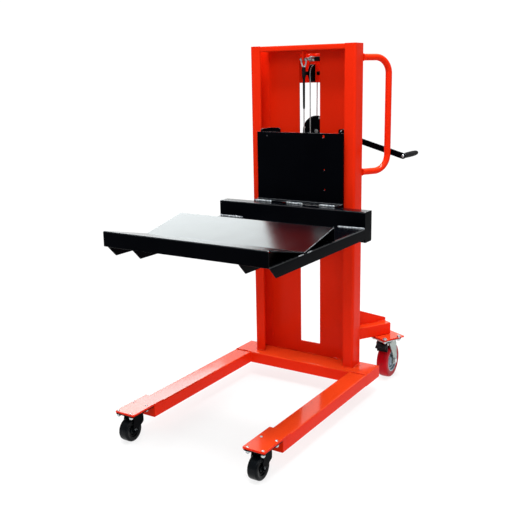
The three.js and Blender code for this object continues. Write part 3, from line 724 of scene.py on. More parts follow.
# ---- mast ----
def mast():
    inside = MAST_HALF - CHANNEL_FLANGE
    channel = bent_sheet(
        [(inside, 0), (MAST_HALF, 0), (MAST_HALF, MAST_DEPTH), (inside, MAST_DEPTH)], CHANNEL_WALL, 4, 5,
    )
    column = prism(channel, BASE_TOP + GAP, MAST_TOP, "Z", bevel=0.7)
    pair("mast_channel", column, "chassis", "red", "mast_column")
    half = inside - GAP
    slot = rounded(rectangle(-SLOT_HALF, SLOT_HALF, SLOT_LOW, SLOT_HIGH)[::-1], 3)
    sheet = prism(
        rectangle(-inside, inside, BASE_TOP + GAP, HEAD_LOW + 1), MAST_DEPTH - CHANNEL_WALL, MAST_DEPTH, "Y",
        holes=[slot], bevel=0.7,
    )
    piece("mast_sheet", sheet, "chassis", "red", "mast_back_plate")
    section = rounded(rectangle(1, MAST_DEPTH - 1, HEAD_LOW, MAST_TOP - 1), 4)
    head = prism(section, -half, half, "X", bevel=0.8)
    front, rear, top, low = DEAD_Y - 10, DEAD_Y + 12, HEAD_LOW + 2, SHACKLE_EYE - 8
    tongue = rounded([(front, top), (front, low), (rear, low), (rear, top)], [0, 8, 8, 0])
    hole = rod(5.5, -5, 5, (0, DEAD_Y, SHACKLE_EYE), X)
    lug = boolean("DIFFERENCE", prism(tongue, -3, 3, "X", bevel=0), hole)
    piece("head_beam", join(head, soften(lug, 0.6)), "chassis", "red", "mast_top_beam")


def mitre(verts):
    """Slides vertices along the outward direction until they lie on the mast's rear face."""
    for v in verts:
        v.co += OUTWARD * ((BEHIND_MAST - v.co.y) / OUTWARD.y)


def outriggers():
    root = Matrix.Translation((RAIL_CORNER, BEHIND_MAST, 0)) @ Matrix.Rotation(-SPLAY, 4, "Z")
    rail = prism(rounded(rectangle(-RAIL_WIDTH, 0, RAIL_LOW, RAIL_HIGH), 4), -40, RAIL_LENGTH, "Y", bevel=0)
    back = -23
    rise = RAIL_HIGH + GUSSET_LOW + GUSSET_SLOPE * (RAIL_LENGTH - back)
    foot, toe = RAIL_HIGH - 0.5, RAIL_HIGH + GUSSET_LOW
    side = rounded([(back, foot), (RAIL_LENGTH, foot), (RAIL_LENGTH, toe), (back, rise)], [0, 0, 4, 0])
    plate = prism(side, -GUSSET_INSET - GUSSET_THICK, -GUSSET_INSET, "X", bevel=0)
    for bar in (rail, plate):
        near = [v for v in bar.verts if v.co.y < back + 1]
        bar.transform(root)
        mitre(near)
        soften(bar, 1)
    pair("outrigger", join(rail, plate), "chassis", "red", "rear_rail")
    stitches = [
        weld([root @ Vector((1 - GUSSET_INSET, y, RAIL_HIGH + 0.8)) for y in ends], 2.8, seed=ends[0])
        for ends in ((4, 40), (96, 134), (188, 226))
    ]
    corners = rectangle(-RAIL_WIDTH, 0, RAIL_HIGH, RAIL_LOW)
    seam = []
    for x, z in (*corners, corners[0]):
        spot = root @ Vector((x, 0, z))
        seam.append(spot + OUTWARD * ((BEHIND_MAST + 1 - spot.y) / OUTWARD.y))
    stitches.append(weld(seam, 3.0, seed=9))
    pair("outrigger_welds", join(*stitches), "chassis", "red")
    turned = Matrix.Rotation(-PLATE_TURN, 4, "Z")
    top = REAR_PLATE["top"]
    pad = prism(rounded(rectangle(-51, 51, -56, 56), 4), top - 6, top, "Z", bevel=1)
    moved(pad, Matrix.Translation((REAR_PLATE["x"], REAR_PLATE["y"], 0)) @ turned)
    pair("caster_pad", pad, "chassis", "red", "rear_plate")
    centre = Matrix.Translation((REAR_CASTER["x"], REAR_CASTER["y"], 0)) @ turned
    mount = prism(rounded(rectangle(-45, 45, -50, 50), 7), top - 10.3, top - 6.3, "Z", bevel=0.8)
    pair("rear_caster_mount", moved(mount, centre), "chassis", "zinc", "rear_caster_plate")
    bolts = []
    for k, (x, y) in enumerate((x, y) for x in (-36, 36) for y in (-38, 38)):
        if x > 0:
            bolts.append(hex_bolt((x, y, top), Z, 15, 6, washer=10, spin=0.4 * k))
        bolts.append(hex_bolt((x, y, top - 10.3), (0, 0, -1), 14, 4.4, washer=9, stub=0.4, spin=0.7 * k))
    pair("caster_pad_bolts", moved(join(*bolts), centre), "chassis", "zinc")


def handles():
    up = Vector(Z)

    def at(far, z):
        return HANDLE_ROOT + OUTWARD * far + up * z

    turn = HANDLE_REACH - HANDLE_BEND
    first = 12
    path = [at(first, HANDLE_HIGH), at(first + 16, HANDLE_HIGH)]
    path += arc(at(turn, HANDLE_HIGH - HANDLE_BEND), OUTWARD, up, HANDLE_BEND, 90, 0, 14)
    path += [at(HANDLE_REACH, z) for z in (1240, 1140, 1050)]
    path += arc(at(turn, HANDLE_LOW + HANDLE_BEND), OUTWARD, up, HANDLE_BEND, 0, -90, 14)
    path += [at(first + 16, HANDLE_LOW), at(first, HANDLE_LOW)]
    bm = sweep(path, TUBE_RADIUS, 28)
    near = (HANDLE_ROOT + OUTWARD * first).y + 8
    mitre([v for v in bm.verts if v.co.y < near])
    pair("grab_handle", bm, "chassis", "red", "push_handle", smooth=60)
    beads = []
    for k, z in enumerate((HANDLE_HIGH, HANDLE_LOW)):
        spot = HANDLE_ROOT + OUTWARD * ((BEHIND_MAST - HANDLE_ROOT.y) / OUTWARD.y)
        ring = [
            (spot.x + 15.4 * math.cos(a), BEHIND_MAST + 0.8, z + 13.4 * math.sin(a))
            for a in [2 * math.pi * i / 28 for i in range(29)]
        ]
        beads.append(weld(ring, 2.3, 3.0, seed=20 + k))
    pair("handle_welds", join(*beads), "chassis", "red")


def frame_welds():
    top = BASE_TOP + 1
    one_side = [
        weld([(LEG_INNER + 4, CROSS_FRONT, top), (LEG_OUTER - 3, CROSS_FRONT, top)], 3.4, seed=31),
        weld([(MAST_HALF - CHANNEL_FLANGE + 2, -1, top), (MAST_HALF - 7, -1, top)], 2.8, seed=32),
        weld([(MAST_HALF + 1, 8, top), (MAST_HALF + 1, MAST_DEPTH - 8, top)], 2.8, seed=33),
        weld([(MAST_HALF - 8, MAST_DEPTH + 1, top), (100, MAST_DEPTH + 1, top)], 2.8, seed=34),
        weld([(LEG_INNER - 1, CROSS_FRONT - 1, z) for z in (BASE_TOP - 6, BASE_LOW + 4)], 2.8, seed=35),
        weld([(x, -651, top) for x in (LEG_INNER + 6, LEG_OUTER - 6)], 2.2, seed=36),
        weld([(x, LEG_FRONT - 1, BASE_TOP - 1) for x in (LEG_INNER + 8, LEG_OUTER - 8)], 2.2, seed=37),
    ]
    for z in (150, 420, 690, 1120, 1330):
        one_side.append(weld([(190.5, 69.3, z), (190.5, 69.3, z + 42)], 2.2, seed=z))
    pair("frame_welds", join(*one_side), "chassis", "red")
    front = MAST_DEPTH - CHANNEL_WALL - 1
    middle = [
        weld([(x0, front, top), (x1, front, top)], 2.6, seed=60 + k)
        for k, (x0, x1) in enumerate(((-172, -118), (-34, 30), (112, 168)))
    ]
    piece("sheet_welds", join(*middle), "chassis", "red")


# ---- rope, sheaves and anchor ----
def sheave(spec, name, body, node):
    floor = spec["pitch"] - ROPE - 0.6
    rim, bore, half = spec["rim"], spec["bore"], SHEAVE_HALF
    boss = bore + 4
    profile = [
        (boss, -half), (rim, -half), (rim, -half + 1.6), (floor, -2.4),
        (floor, 2.4), (rim, half - 1.6), (rim, half), (boss, half),
        (boss, half - 2), (bore, half - 2), (bore, -half + 2), (boss, -half + 2),
    ]
    wheel = lathe(rounded(profile, 0.5, 2), (0, spec["y"], spec["z"]), X, 64, ring=True)
    piece(name, wheel, body, "black", node)


def sheave_box():
    y0 = BEHIND_MAST
    outer = SLOT_HALF + BOX_WALL
    plan = bent_sheet([(outer, y0), (outer, BOX_BACK), (-outer, BOX_BACK), (-outer, y0)], BOX_WALL, 3, 4)
    box = prism(plan, BOX_LOW, SLOT_HIGH + 3, "Z", bevel=0.7)
    cheek = rounded(rectangle(94, BOX_BACK - 2, BOX_LOW + 1, SLOT_HIGH - 1), [8, 0, 0, 8])
    cheeks = [prism(cheek, x, x + 3, "X", bevel=0.6) for x in (14, -17)]
    piece("sheave_box", join(box, *cheeks), "chassis", "red", "pulley_box")
    seams = [
        weld([(s * (outer + 1), y0 + 0.6, z) for z in (BOX_LOW + 8, SLOT_HIGH - 8)], 2.4, seed=70 + s)
        for s in (1, -1)
    ]
    piece("sheave_box_welds", join(*seams), "chassis", "red")
    y, z = TOP_SHEAVE["y"], TOP_SHEAVE["z"]
    pin = [(0, -57.8), (7.2, -57.8), (8, -57), (8, 57), (7.2, 57.8), (0, 57.8)]
    axle = lathe(pin, (0, y, z), X, 32)
    nuts = [hex_bolt((s * outer, y, z), (s, 0, 0), 22, 5, washer=13) for s in (1, -1)]
    piece("sheave_axle", join(axle, *nuts), "chassis", "black", "top_pulley_axle")
    keeper = (0, 84, 1364)
    parts = [
        rod(6, -46.9, 46.9, keeper, X),
        hex_bolt((-4, 84, 1364), X, 19, 9, washer=11),
        hex_bolt((9, 84, 1364), X, 19, 8, washer=11, spin=0.5),
    ]
    piece("keeper_bolt", join(*parts), "chassis", "zinc")
    tube = [(6.2, 20), (9.4, 20), (9.4, 46.6), (6.2, 46.6)]
    sleeve = soft_lathe(tube, keeper, X, 1.2, 32, ring=True)
    piece("keeper_sleeve", sleeve, "chassis", "grip")


def anchor():
    eye = SHACKLE_EYE
    y = DEAD_Y
    leg = [(0, 1333), (5, 1334), (10.5, eye - 14), (11, eye + 3)]
    legs = [sweep([(s * x, y, z) for x, z in leg], [4.2, 3.6, 3.4, 4.4], 16) for s in (1, -1)]
    eyes = [rod(6.5, 8, 13.5, (0, y, eye), (s, 0, 0)) for s in (1, -1)]
    pin = [hex_bolt((13.4, y, eye), X, 9, 4, spin=0.3), rod(4.4, -15.6, 15, (0, y, eye), X)]
    thimble = soft_lathe([(0, 0), (5.4, 0), (5.4, 5), (0, 5)], (0, y, 1332.4), Z, 0.8, 24)
    piece("rope_shackle", join(*legs, *eyes, *pin, thimble), "chassis", "zinc", "cable_shackle")
    profile = [
        (0, 1331.8), (6.4, 1331.8), (8, 1327), (7.6, 1312), (8, 1297), (6.6, 1291), (5, 1288),
        (4.8, 1240), (4.4, 1176), (3.4, 1168.4), (0, 1168.4),
    ]
    boot = soft_lathe(profile, (0, y, 0), Z, 1.2, 32)
    rings = [
        lathe([(7.9, z), (8.0, z + 1), (7.9, z + 2), (6, z + 1)], (0, y, 0), Z, 32, ring=True)
        for z in (1300, 1306, 1318, 1324)
    ]
    piece("rope_boot", join(boot, *rings), "chassis", "grip", "cable_boot")


def rope_piece(name, bm, body, node=()):
    piece(name, bm, body, "rope", node, smooth=60, weighted=False)


def ropes():
    up, back = Vector(Z), Vector(Y)
    top = Vector((0, TOP_SHEAVE["y"], TOP_SHEAVE["z"]))
    over = arc(top, back, up, TOP_SHEAVE["pitch"], 0, 180, 24)
    coil_start = Vector((0, ROPE_Y, DRUM_Z))
    rope_piece("rope_fixed", rope([coil_start, *over]), "chassis", "cable_fixed_run")
    low = Vector((0, LOW_SHEAVE["y"], LOW_SHEAVE["z"]))
    under = arc(low, back, up, LOW_SHEAVE["pitch"], 0, -180, 24)
    rope_piece("rope_turn", rope(under), "carriage", "cable_lower_bend")
    for name, y, high, node in (
        ("rope_live", LIVE_Y, TOP_SHEAVE["z"], "cable_live_run"),
        ("rope_dead", DEAD_Y, 1170, "cable_dead_run"),
    ):
        run = rope([(0, y, high), (0, y, LOW_SHEAVE["z"])])
        ends = [ORIGIN + Vector((0, y, z)) * MM for z in (high, LOW_SHEAVE["z"])]
        rope_piece(name, run, ("chassis", "carriage", *ends), node)


# ---- winch ----
def tooth_outline(teeth, x, z, phase, module=4.0):
    pitch = module * teeth / 2
    root, tip = pitch - 1.15 * module, pitch + 0.8 * module
    points = []
    for i in range(teeth):
        for radius, share in ((root, -0.3), (tip, -0.1), (tip, 0.1), (root, 0.3)):
            angle = phase + 2 * math.pi * (i + share) / teeth
            points.append((x + radius * math.cos(angle), z + radius * math.sin(angle)))
    return points


def winch_body():
    shelf = block(-62, 145, 88, 190, SHELF_TOP - GAP - 6, SHELF_TOP - GAP)
    back, top = BEHIND_MAST, SHELF_TOP - GAP
    rib = rounded(
        [(back, top - 70), (96, top - 70), (184, top - 6), (184, top - 1), (back, top - 1)], [2, 8, 2, 0, 0],
    )
    ribs = [prism(rib, x, x + 6, "X") for x in (-62, 114)]
    piece("winch_bracket", join(shelf, *ribs), "chassis", "red", "winch_shelf")
    seams = [weld([(x, back + 1, top - 66), (x, back + 1, top - 8)], 2.4, seed=80 + x) for x in (-55, 113)]
    piece("winch_bracket_welds", join(*seams), "chassis", "red")
    side = rounded(
        [(-27, SHELF_TOP), (128, SHELF_TOP), (128, 1048), (116, 1072), (62, 1116), (-8, 1116), (-27, 1090)],
        [0, 0, 10, 10, 14, 14, 10],
    )
    holes = [circle(DRUM_X, DRUM_Z, 9.4)[::-1], circle(CRANK_X, CRANK_Z, 8.8)[::-1]]
    plates = [prism(side, y, y + 4, "Y", holes=holes, bevel=0.7) for y in (100, 170)]
    floor = block(-27, 128, 100, 174, SHELF_TOP, SHELF_TOP + 4)
    ties = ((-17, 1016), (116, 1014))
    spacers = [rod(5, 103, 171, (x, 0, z), Y, 20) for x, z in ties]
    stud = lathe([(0, 173), (4, 173), (4, 195.4), (3.2, 196), (0, 196)], (PAWL_X, 0, PAWL_Z), Y, 20)
    piece("winch_body", join(*plates, floor, *spacers, stud), "chassis", "black", "winch_frame")
    hardware = [hex_bolt((x, 174, z), Y, 13, 5, washer=8, spin=0.2 + x) for x, z in ties]
    hardware += [hex_bolt((x, 100, z), (0, -1, 0), 11, 1.6) for x, z in ties]
    for x in (-10, 111):
        hardware += [hex_bolt((x, y, SHELF_TOP + 4), Z, 13, 6, washer=8.5) for y in (118, 156)]
    hardware.append(hex_bolt((PAWL_X, 192.6, PAWL_Z), Y, 9, 3.2))
    piece("winch_fasteners", join(*hardware), "chassis", "zinc")


def winch_drum(mesh_angle):
    centre = (DRUM_X, 0, DRUM_Z)
    reel = [
        (0, 84), (8.4, 84), (8.4, 105), (46, 105), (46, 108), (20.2, 108), (20.2, 166), (46, 166),
        (46, 169), (8.4, 169), (8.4, 178), (0, 178),
    ]
    spool = soft_lathe(reel, centre, Y, 0.5, 64)
    nut = hex_bolt((DRUM_X, 174.4, DRUM_Z), Y, 14, 3.4)
    piece("drum_spool", join(spool, nut), "drum", "zinc", "winch_drum")
    turns, lay, radius, steps = 3.6, 5.1, 22.8, 110
    coil = [
        Vector((DRUM_X + radius * math.cos(a), 111 + lay * a / (2 * math.pi), DRUM_Z + radius * math.sin(a)))
        for a in [math.pi - turns * 2 * math.pi + turns * 2 * math.pi * i / steps for i in range(steps + 1)]
    ]
    shift = 128.4 - coil[-1].y
    for point in coil:
        point.y += shift
    rope_piece("drum_coil", rope(coil), "drum")
    teeth = tooth_outline(DRUM_TEETH, DRUM_X, DRUM_Z, mesh_angle)
    wheel = prism(teeth, 88, 98, "Y", holes=[circle(DRUM_X, DRUM_Z, 8.8)[::-1]], bevel=0.4)
    guard = rounded([(8.8, 84.6), (62.4, 84.6), (63.4, 85.6), (63.4, 88), (8.8, 88)], 0.6, 2)
    disc = lathe(guard, centre, Y, 96, ring=True)
    piece("drum_wheel", join(wheel, disc), "drum", "black", "drum_gear")
    rivets = []
    for k in range(4):
        angle = math.radians(164.5 + 90 * k)
        spot = (DRUM_X + 56 * math.cos(angle), 84.6, DRUM_Z + 56 * math.sin(angle))
        rivets.append(hex_bolt(spot, (0, -1, 0), 8, 2.2))
    piece("drum_wheel_bolts", join(*rivets), "drum", "zinc")


def crank_shaft(mesh_angle):
    centre = (CRANK_X, 0, CRANK_Z)
    phase = mesh_angle + math.pi + math.pi / PINION_TEETH
    pinion = prism(tooth_outline(PINION_TEETH, CRANK_X, CRANK_Z, phase), 89, 98, "Y", bevel=0.4)
    stepped = [(0, 84), (8, 84), (8, 198), (13, 198), (13, 214), (6, 214), (6, 222), (0, 222)]
    shaft = soft_lathe(stepped, centre, Y, 0.6, 36)
    nut = hex_bolt((CRANK_X, CRANK_FRONT + CRANK_THICK, CRANK_Z), Y, 19, 9, washer=12, stub=3)
    piece("crank_shaft", join(pinion, shaft, nut), "crank", "zinc", "pinion_shaft")
    ratchet = []
    for i in range(RATCHET_TEETH):
        for radius, share in ((38, 0), (33, 0.12)):
            angle = 2 * math.pi * (i + share) / RATCHET_TEETH
            ratchet.append((CRANK_X + radius * math.cos(angle), CRANK_Z + radius * math.sin(angle)))
    disc = prism(ratchet, 182, 192, "Y", holes=[circle(CRANK_X, CRANK_Z, 8.4)[::-1]], bevel=0.5)
    piece("ratchet_disc", disc, "crank", "zinc", "ratchet_wheel")
    pads = [
        soft_lathe([(8.3, a), (30, a), (30, b), (8.3, b)], centre, Y, ring=True)
        for a, b in ((176, 181.6), (192.4, 197.6))
    ]
    piece("brake_pads", join(*pads), "crank", "grip")


def pawl():
    reach = 23
    away = math.atan2(CRANK_Z - PAWL_Z, CRANK_X - PAWL_X)
    outline = rounded(
        [(-7, -6), (4, -6), (reach, -3.6), (reach, 0.5), (4, 6), (-7, 6)], [5, 3, 0.5, 0.5, 3, 5],
    )
    finger = prism(outline, 182, 192, "Y", holes=[circle(0, 0, 4.3)[::-1]], bevel=0.6)
    finger = moved(finger, Matrix.Translation((PAWL_X, 0, PAWL_Z)) @ Matrix.Rotation(-away, 4, "Y"))
    piece("ratchet_pawl", finger, "pawl", "zinc", "winch_pawl")


def winch():
    mesh_angle = math.atan2(CRANK_Z - DRUM_Z, CRANK_X - DRUM_X)
    winch_body()
    winch_drum(mesh_angle)
    crank_shaft(mesh_angle)
    pawl()


def crank():
    along = Vector((CRANK_TIP_X - CRANK_X, 0, CRANK_TIP_Z - CRANK_Z))
    angle = math.atan2(along.z, along.x)
    half = CRANK_HALF
    bar = rounded(rectangle(-half, along.length + half, -half, half), CRANK_ROUND, 8)
    holes = [circle(0, 0, 6.2)[::-1]]
    bm = prism(bar, CRANK_FRONT, CRANK_FRONT + CRANK_THICK, "Y", holes=holes, bevel=0.9)
    moved(bm, Matrix.Translation((CRANK_X, 0, CRANK_Z)) @ Matrix.Rotation(-angle, 4, "Y"))
    piece("crank_bar", bm, "crank", "black", "crank_arm")
    tip = (CRANK_TIP_X, 0, CRANK_TIP_Z)
    near = CRANK_FRONT
    end = near + CRANK_THICK + GRIP_LENGTH
    stem = [
        (0, near - 2.4), (4.4, near - 2.4), (6, near - 0.6), (6, near + 0.4), (5, near + 0.4), (5, end + 1),
        (0, end + 1),
    ]
    pin = lathe(stem, tip, Y, 28)
    button = [(0, end + 1), (7, end + 1), (7, end + 2.4), (4, end + 3.8), (0, end + 3.9)]
    cap = lathe(button, tip, Y, 28)
    piece("crank_pin", join(pin, cap), "crank", "zinc")
    start = CRANK_FRONT + CRANK_THICK + 1
    profile = [
        (5.7, 0), (9.4, 0), (10, 3), (10.2, 12), (11, 24), (11.4, 60), (11.4, 96), (10.4, 128),
        (9.2, 138), (8.2, 144), (5.7, 144.6),
    ]
    grip = lathe(rounded([(r, start + y) for r, y in profile], 1.2, 3), tip, Y, 40, ring=True)
    piece("crank_handle", grip, "grip", "grip", "crank_grip")


# ---- carriage ----
def load_panel_and_beam():
    seat, back = PANEL_SEAT, PANEL_BACK
    fold = bent_sheet([(PANEL_FRONT - PANEL_LIP, seat), (back, seat), (back, PANEL_TOP)], PANEL_THICK, 4, 5)
    sheet = prism(fold, -PANEL_HALF, PANEL_HALF, "X", bevel=0)
    holes = [
        rod(r, -40, 0, (x, 0, z), Y, 28)
        for x, z, r in ((111, 1064, 6), (115, 934, 4), (117, 853, 4), (-149, 1063, 3))
    ]
    panel = soften(boolean("DIFFERENCE", sheet, *holes), 0.9)
    piece("load_panel", panel, "carriage", "black", "carriage_panel")
    section = rounded(rectangle(BEAM_FRONT + 0.6, BEAM_BACK - 0.6, BEAM_LOW + 0.6, BEAM_TOP), 7, 6)
    tube = prism(section, -BEAM_HALF + 5, BEAM_HALF - 5, "X", bevel=0)
    cap = rounded(rectangle(BEAM_FRONT, BEAM_BACK, BEAM_LOW, BEAM_TOP), 6, 5)
    caps = [prism(cap, x, x + 5, "X", bevel=0.9) for x in (-BEAM_HALF, BEAM_HALF - 5)]
    piece("load_beam", join(tube, *caps), "carriage", "black", "carriage_beam")


def cheeks_and_rollers():
    web, rear = 185, 66
    near, step = BEAM_BACK + GAP, PANEL_BACK + GAP
    ledge = BEAM_TOP - GAP
    corners = [(near, 680), (rear, 680), (rear, 1089), (step, 1089), (step, ledge), (near, ledge)]
    outline = rounded(corners, [6, 0, 0, 12, 0, 0])
    cheek = prism(outline, web - 6, web, "X", bevel=0.9)
    strip = rounded(rectangle(web - 49, web, 680, 1089), [10, 0, 0, 10])
    flange = prism(strip, rear - 6, rear, "Y", bevel=0.9)
    stub = [(0, 184), (10, 184), (10, 228.6), (9, 229.4), (0, 229.4)]
    studs = [lathe(stub, (0, ROLLER_Y, z), X, 28) for z in (ROLLER_LOW, ROLLER_HIGH)]
    pair("carriage_cheek", join(cheek, flange, *studs), "carriage", "black", "carriage_side")
    profile = [
        (10.5, 195), (16, 195), (16, 197), (26, 197), (26, 195), (29.5, 195), (31, 196.5), (31, 226.5),
        (29.5, 228), (26, 228), (26, 226), (16, 226), (16, 228), (10.5, 228),
    ]
    for level, z in (("upper", ROLLER_HIGH), ("lower", ROLLER_LOW)):
        wheel = lathe(rounded(profile, 0.5, 2), (0, ROLLER_Y, z), X, 56, ring=True)
        other = mirrored(wheel.copy())
        for (side, _), mesh in zip(SIDES, (wheel, other)):
            roller = f"{level}_roller_{side}"
            piece(f"guide_roller_{level}_{side}", mesh, roller, "zinc", roller)


def arms_and_cradle():
    channel = bent_sheet(
        [(ARM_OUTER, ARM_LOW), (ARM_OUTER, ARM_TOP), (ARM_INNER, ARM_TOP), (ARM_INNER, ARM_LOW)], 5, 2.5, 5,
    )
    arm = prism(channel, ARM_TIP, BEAM_FRONT - GAP, "Y", bevel=0)
    for v in arm.verts:
        if v.co.y < ARM_TIP + 1:
            v.co.y += ARM_TOP - v.co.z
    pair("lift_arm", soften(arm, 0.8), "carriage", "black", "fork_arm")
    fold = bent_sheet([
        (CRADLE_BACK, CRADLE_FOOT), (CRADLE_BACK, CRADLE_RIDGE_BACK), (CRADLE_VALLEY, CRADLE_LOW),
        (CRADLE_FRONT, CRADLE_RIDGE_FRONT), (CRADLE_FRONT, CRADLE_FOOT),
    ], 4, 2, 5)
    cradle = prism(fold, -CRADLE_HALF, CRADLE_HALF, "X", bevel=0.9)
    piece("roll_cradle", cradle, "carriage", "black", "cradle_platform")


def low_sheave_bracket():
    y, z = LOW_SHEAVE["y"], LOW_SHEAVE["z"]
    front = PANEL_BACK + GAP
    plate = prism(rounded(rectangle(-32, 32, z - 38, z + 38), 5), front, front + 4, "Y", bevel=0.8)
    root, nose = front + 1, y + 12
    corners = [(root, z - 24), (y, z - 14), (nose, z - 6), (nose, z + 6), (y, z + 14), (root, z + 24)]
    fin = rounded(corners, [0, 8, 6, 6, 8, 0])
    fins = [prism(fin, x, x + 4, "X", bevel=0.8) for x in (-14, 10)]
    pin = rod(6, -17, 17, (0, y, z), X, 28)
    piece("low_sheave_bracket", join(plate, *fins, pin), "carriage", "black", "pulley_bracket")
    spots = [(x, z + dz) for x in (-23, 23) for dz in (-28, 28)]
    bolts = [hex_bolt((x, front + 4, height), Y, 10, 5, washer=7) for x, height in spots]
    bolts.append(hex_bolt((14, y, z), X, 13, 2.8, spin=0.2))
    piece("low_sheave_bolts", join(*bolts), "carriage", "zinc")


def carriage_welds():
    y, z = PANEL_FRONT - PANEL_LIP - 0.6, PANEL_SEAT + 2.8
    beads = [
        weld([(x0, y, z), (x1, y, z)], 4.6, 6.5, seed=x1) for x0, x1 in ((-190, -112), (-40, 35), (112, 180))
    ]
    for s in (1, -1):
        y, z = BEAM_FRONT - 1, ARM_TOP
        beads.append(weld([(s * 221, y, z), (s * 335, y, z + 1)], 3.4, seed=3 + s))
        y, z = CRADLE_BACK + 1, ARM_TOP + 1
        beads.append(weld([(s * 226, y, z), (s * 330, y, z)], 2.6, seed=6 + s))
        for k, y0 in enumerate((-620, -560)):
            beads.append(weld([(s * 337, y0, ARM_TOP), (s * 337, y0 + 34, ARM_TOP)], 2.0, seed=12 + k + s))
    piece("carriage_welds", join(*beads), "carriage", "weld")


def carriage():
    load_panel_and_beam()
    cheeks_and_rollers()
    arms_and_cradle()
    low_sheave_bracket()
    carriage_welds()


# ---- casters ----
def caster_yoke(spec):
    """A pressed fork with its swivel race, drawn with the swivel axis at X = Y = 0."""
    crown, leg, boss, trail, wheel = (spec[key] for key in ("crown", "leg", "boss", "trail", "wheel"))
    inner = spec["width"] / 2 + spec["clear"]
    outer = inner + leg
    high = spec["top"] - 3
    deck = high - 2 * leg
    turns = [math.pi * (1 + k / 12) for k in range(13)]
    round_end = [(-trail + boss * math.cos(a), wheel + boss * math.sin(a)) for a in turns]
    bends = [*spec["heel"], (crown, high - 7), (crown - 2, high), (2 - crown, high), (-crown, high - 7)]
    waist = (-trail - 0.6 * boss, wheel + 1.3 * boss) if trail < 0 else (-trail - boss, wheel + 4)
    side = rounded([*round_end, *bends, waist], [0] * 13 + [9, 9, 4, 2, 2, 12, 14], 5)
    shape = prism(side, -outer, outer, "X", bevel=0)
    arch = rounded(rectangle(-outer, outer, 0, high), [0, 0, leg + 3, leg + 3], 5)
    hull = prism(arch, -200, 200, "Y", bevel=0)
    opening = rounded(rectangle(-inner, inner, -1, min(deck, 2 * wheel + 9)), [0, 0, 4, 4], 5)
    room = prism(opening, -220, 220, "Y", bevel=0)
    shell = soften(boolean("DIFFERENCE", boolean("INTERSECT", shape, hull), room), 0.8, 2, 24)
    reach = 0.8 * crown
    grooved = [
        (0, high - 1), (reach - 1, high - 1), (reach, high + 0.4), (reach - 1.6, high + 1.2),
        (reach, high + 2), (reach, high + 3), (0, high + 3),
    ]
    return shell, soft_lathe(grooved, (0, 0, 0), Z, 0.4), outer


def caster_wheel(spec):
    """The tyre and the hub, standing on the floor."""
    wheel, half, bore = spec["wheel"], spec["width"] / 2, spec["bore"]
    seat = 0.66 * wheel
    right = [
        (seat, half - 1.5), (0.80 * wheel, half - 0.3), (0.92 * wheel, half - 1.6),
        (0.985 * wheel, half - 0.09 * wheel), (wheel, half - 0.20 * wheel),
    ]
    left = [(r, -x) for r, x in reversed(right)]
    centre = (0, -spec["trail"], wheel)
    section = rounded(right + left, [0.6, 3, 4, 4, 6, 6, 4, 4, 3, 0.6], 4)
    tyre = lathe(section, centre, X, 72, ring=True)
    steps = [
        (bore, half), (0.22 * wheel, half), (0.24 * wheel, 0.80 * half), (0.31 * wheel, 0.72 * half),
        (0.33 * wheel, 0.50 * half), (0.44 * wheel, 0.42 * half), (0.46 * wheel, 0.66 * half),
        (0.52 * wheel, 0.70 * half), (0.54 * wheel, 0.56 * half), (0.58 * wheel, 0.60 * half),
        (0.60 * wheel, half - 2), (seat + 0.5, half - 1.6),
    ]
    face = steps + [(r, -x) for r, x in reversed(steps)]
    hub = lathe(rounded(face, 0.7, 2), centre, X, 72, ring=True)
    return tyre, hub


def caster(end, side, place, spec, finish, tyre_finish, hub_finish, nut_finish):
    """One swivel caster."""
    name = f"{end}_caster_{side}"
    shell, race, outer = caster_yoke(spec)
    fork = f"{name}_fork"
    piece(f"{end}_yoke_{side}", moved(shell, place), fork, finish, fork)
    piece(f"{end}_swivel_race_{side}", moved(race, place), fork, nut_finish)
    pin, nut = spec["bore"] - 0.6, spec["nut"]
    centre = (0, -spec["trail"], spec["wheel"])
    axle = rod(pin, -outer - 1, outer + 1, centre, X)
    ends = [
        hex_bolt((s * outer, *centre[1:]), (s, 0, 0), nut, 0.36 * nut, washer=0.66 * nut, spin=0.3)
        for s in (1, -1)
    ]
    piece(f"{end}_axle_{side}", moved(join(axle, *ends), place), fork, nut_finish)
    tyre, hub = caster_wheel(spec)
    piece(f"{end}_tyre_{side}", moved(tyre, place), f"{name}_wheel", tyre_finish, f"{name}_wheel", smooth=50)
    piece(f"{end}_hub_{side}", moved(hub, place), f"{name}_wheel", hub_finish)


def brake(side, place):
    """The foot brake: a pressed pedal on a pin between two ears on the fork."""
    y, z, pin, half = (BRAKE[key] for key in ("y", "z", "pin", "half"))
    ear = rounded([(y - 6, z - 6), (-30, z - 6), (-30, z + 6), (y - 6, z + 6)], [5, 0, 0, 5])
    ears = [prism(ear, x, x + 3, "X", bevel=0.6) for x in (half, -half - 3)]
    hinge = rod(pin, -half - 4, half + 4, (0, y, z), X, 20)
    fork = f"rear_caster_{side}_fork"
    piece(f"brake_ears_{side}", moved(join(*ears, hinge), place), fork, "zinc")
    corners = ((-24, -20), (-7, -9), (-5, -36), (8, -35), (5, -4), (5, 4), (-4, 5), (-26, -13))
    outline = rounded([(y + dy, z + dz) for dy, dz in corners], [3, 3, 3, 4, 3, 4, 4, 3], 4)
    pedal = prism(outline, -half + 1, half - 1, "X", bevel=1.1)
    ribs = [
        sweep([(-half + 4, y + dy, z + dz), (half - 4, y + dy, z + dz)], 1.1, 8)
        for dy, dz in ((-22.5, -10), (-18.5, -6.7), (-14.5, -3.4))
    ]
    body = f"rear_brake_{side}"
    piece(f"brake_pedal_{side}", moved(join(pedal, *ribs), place), body, "grip", body)


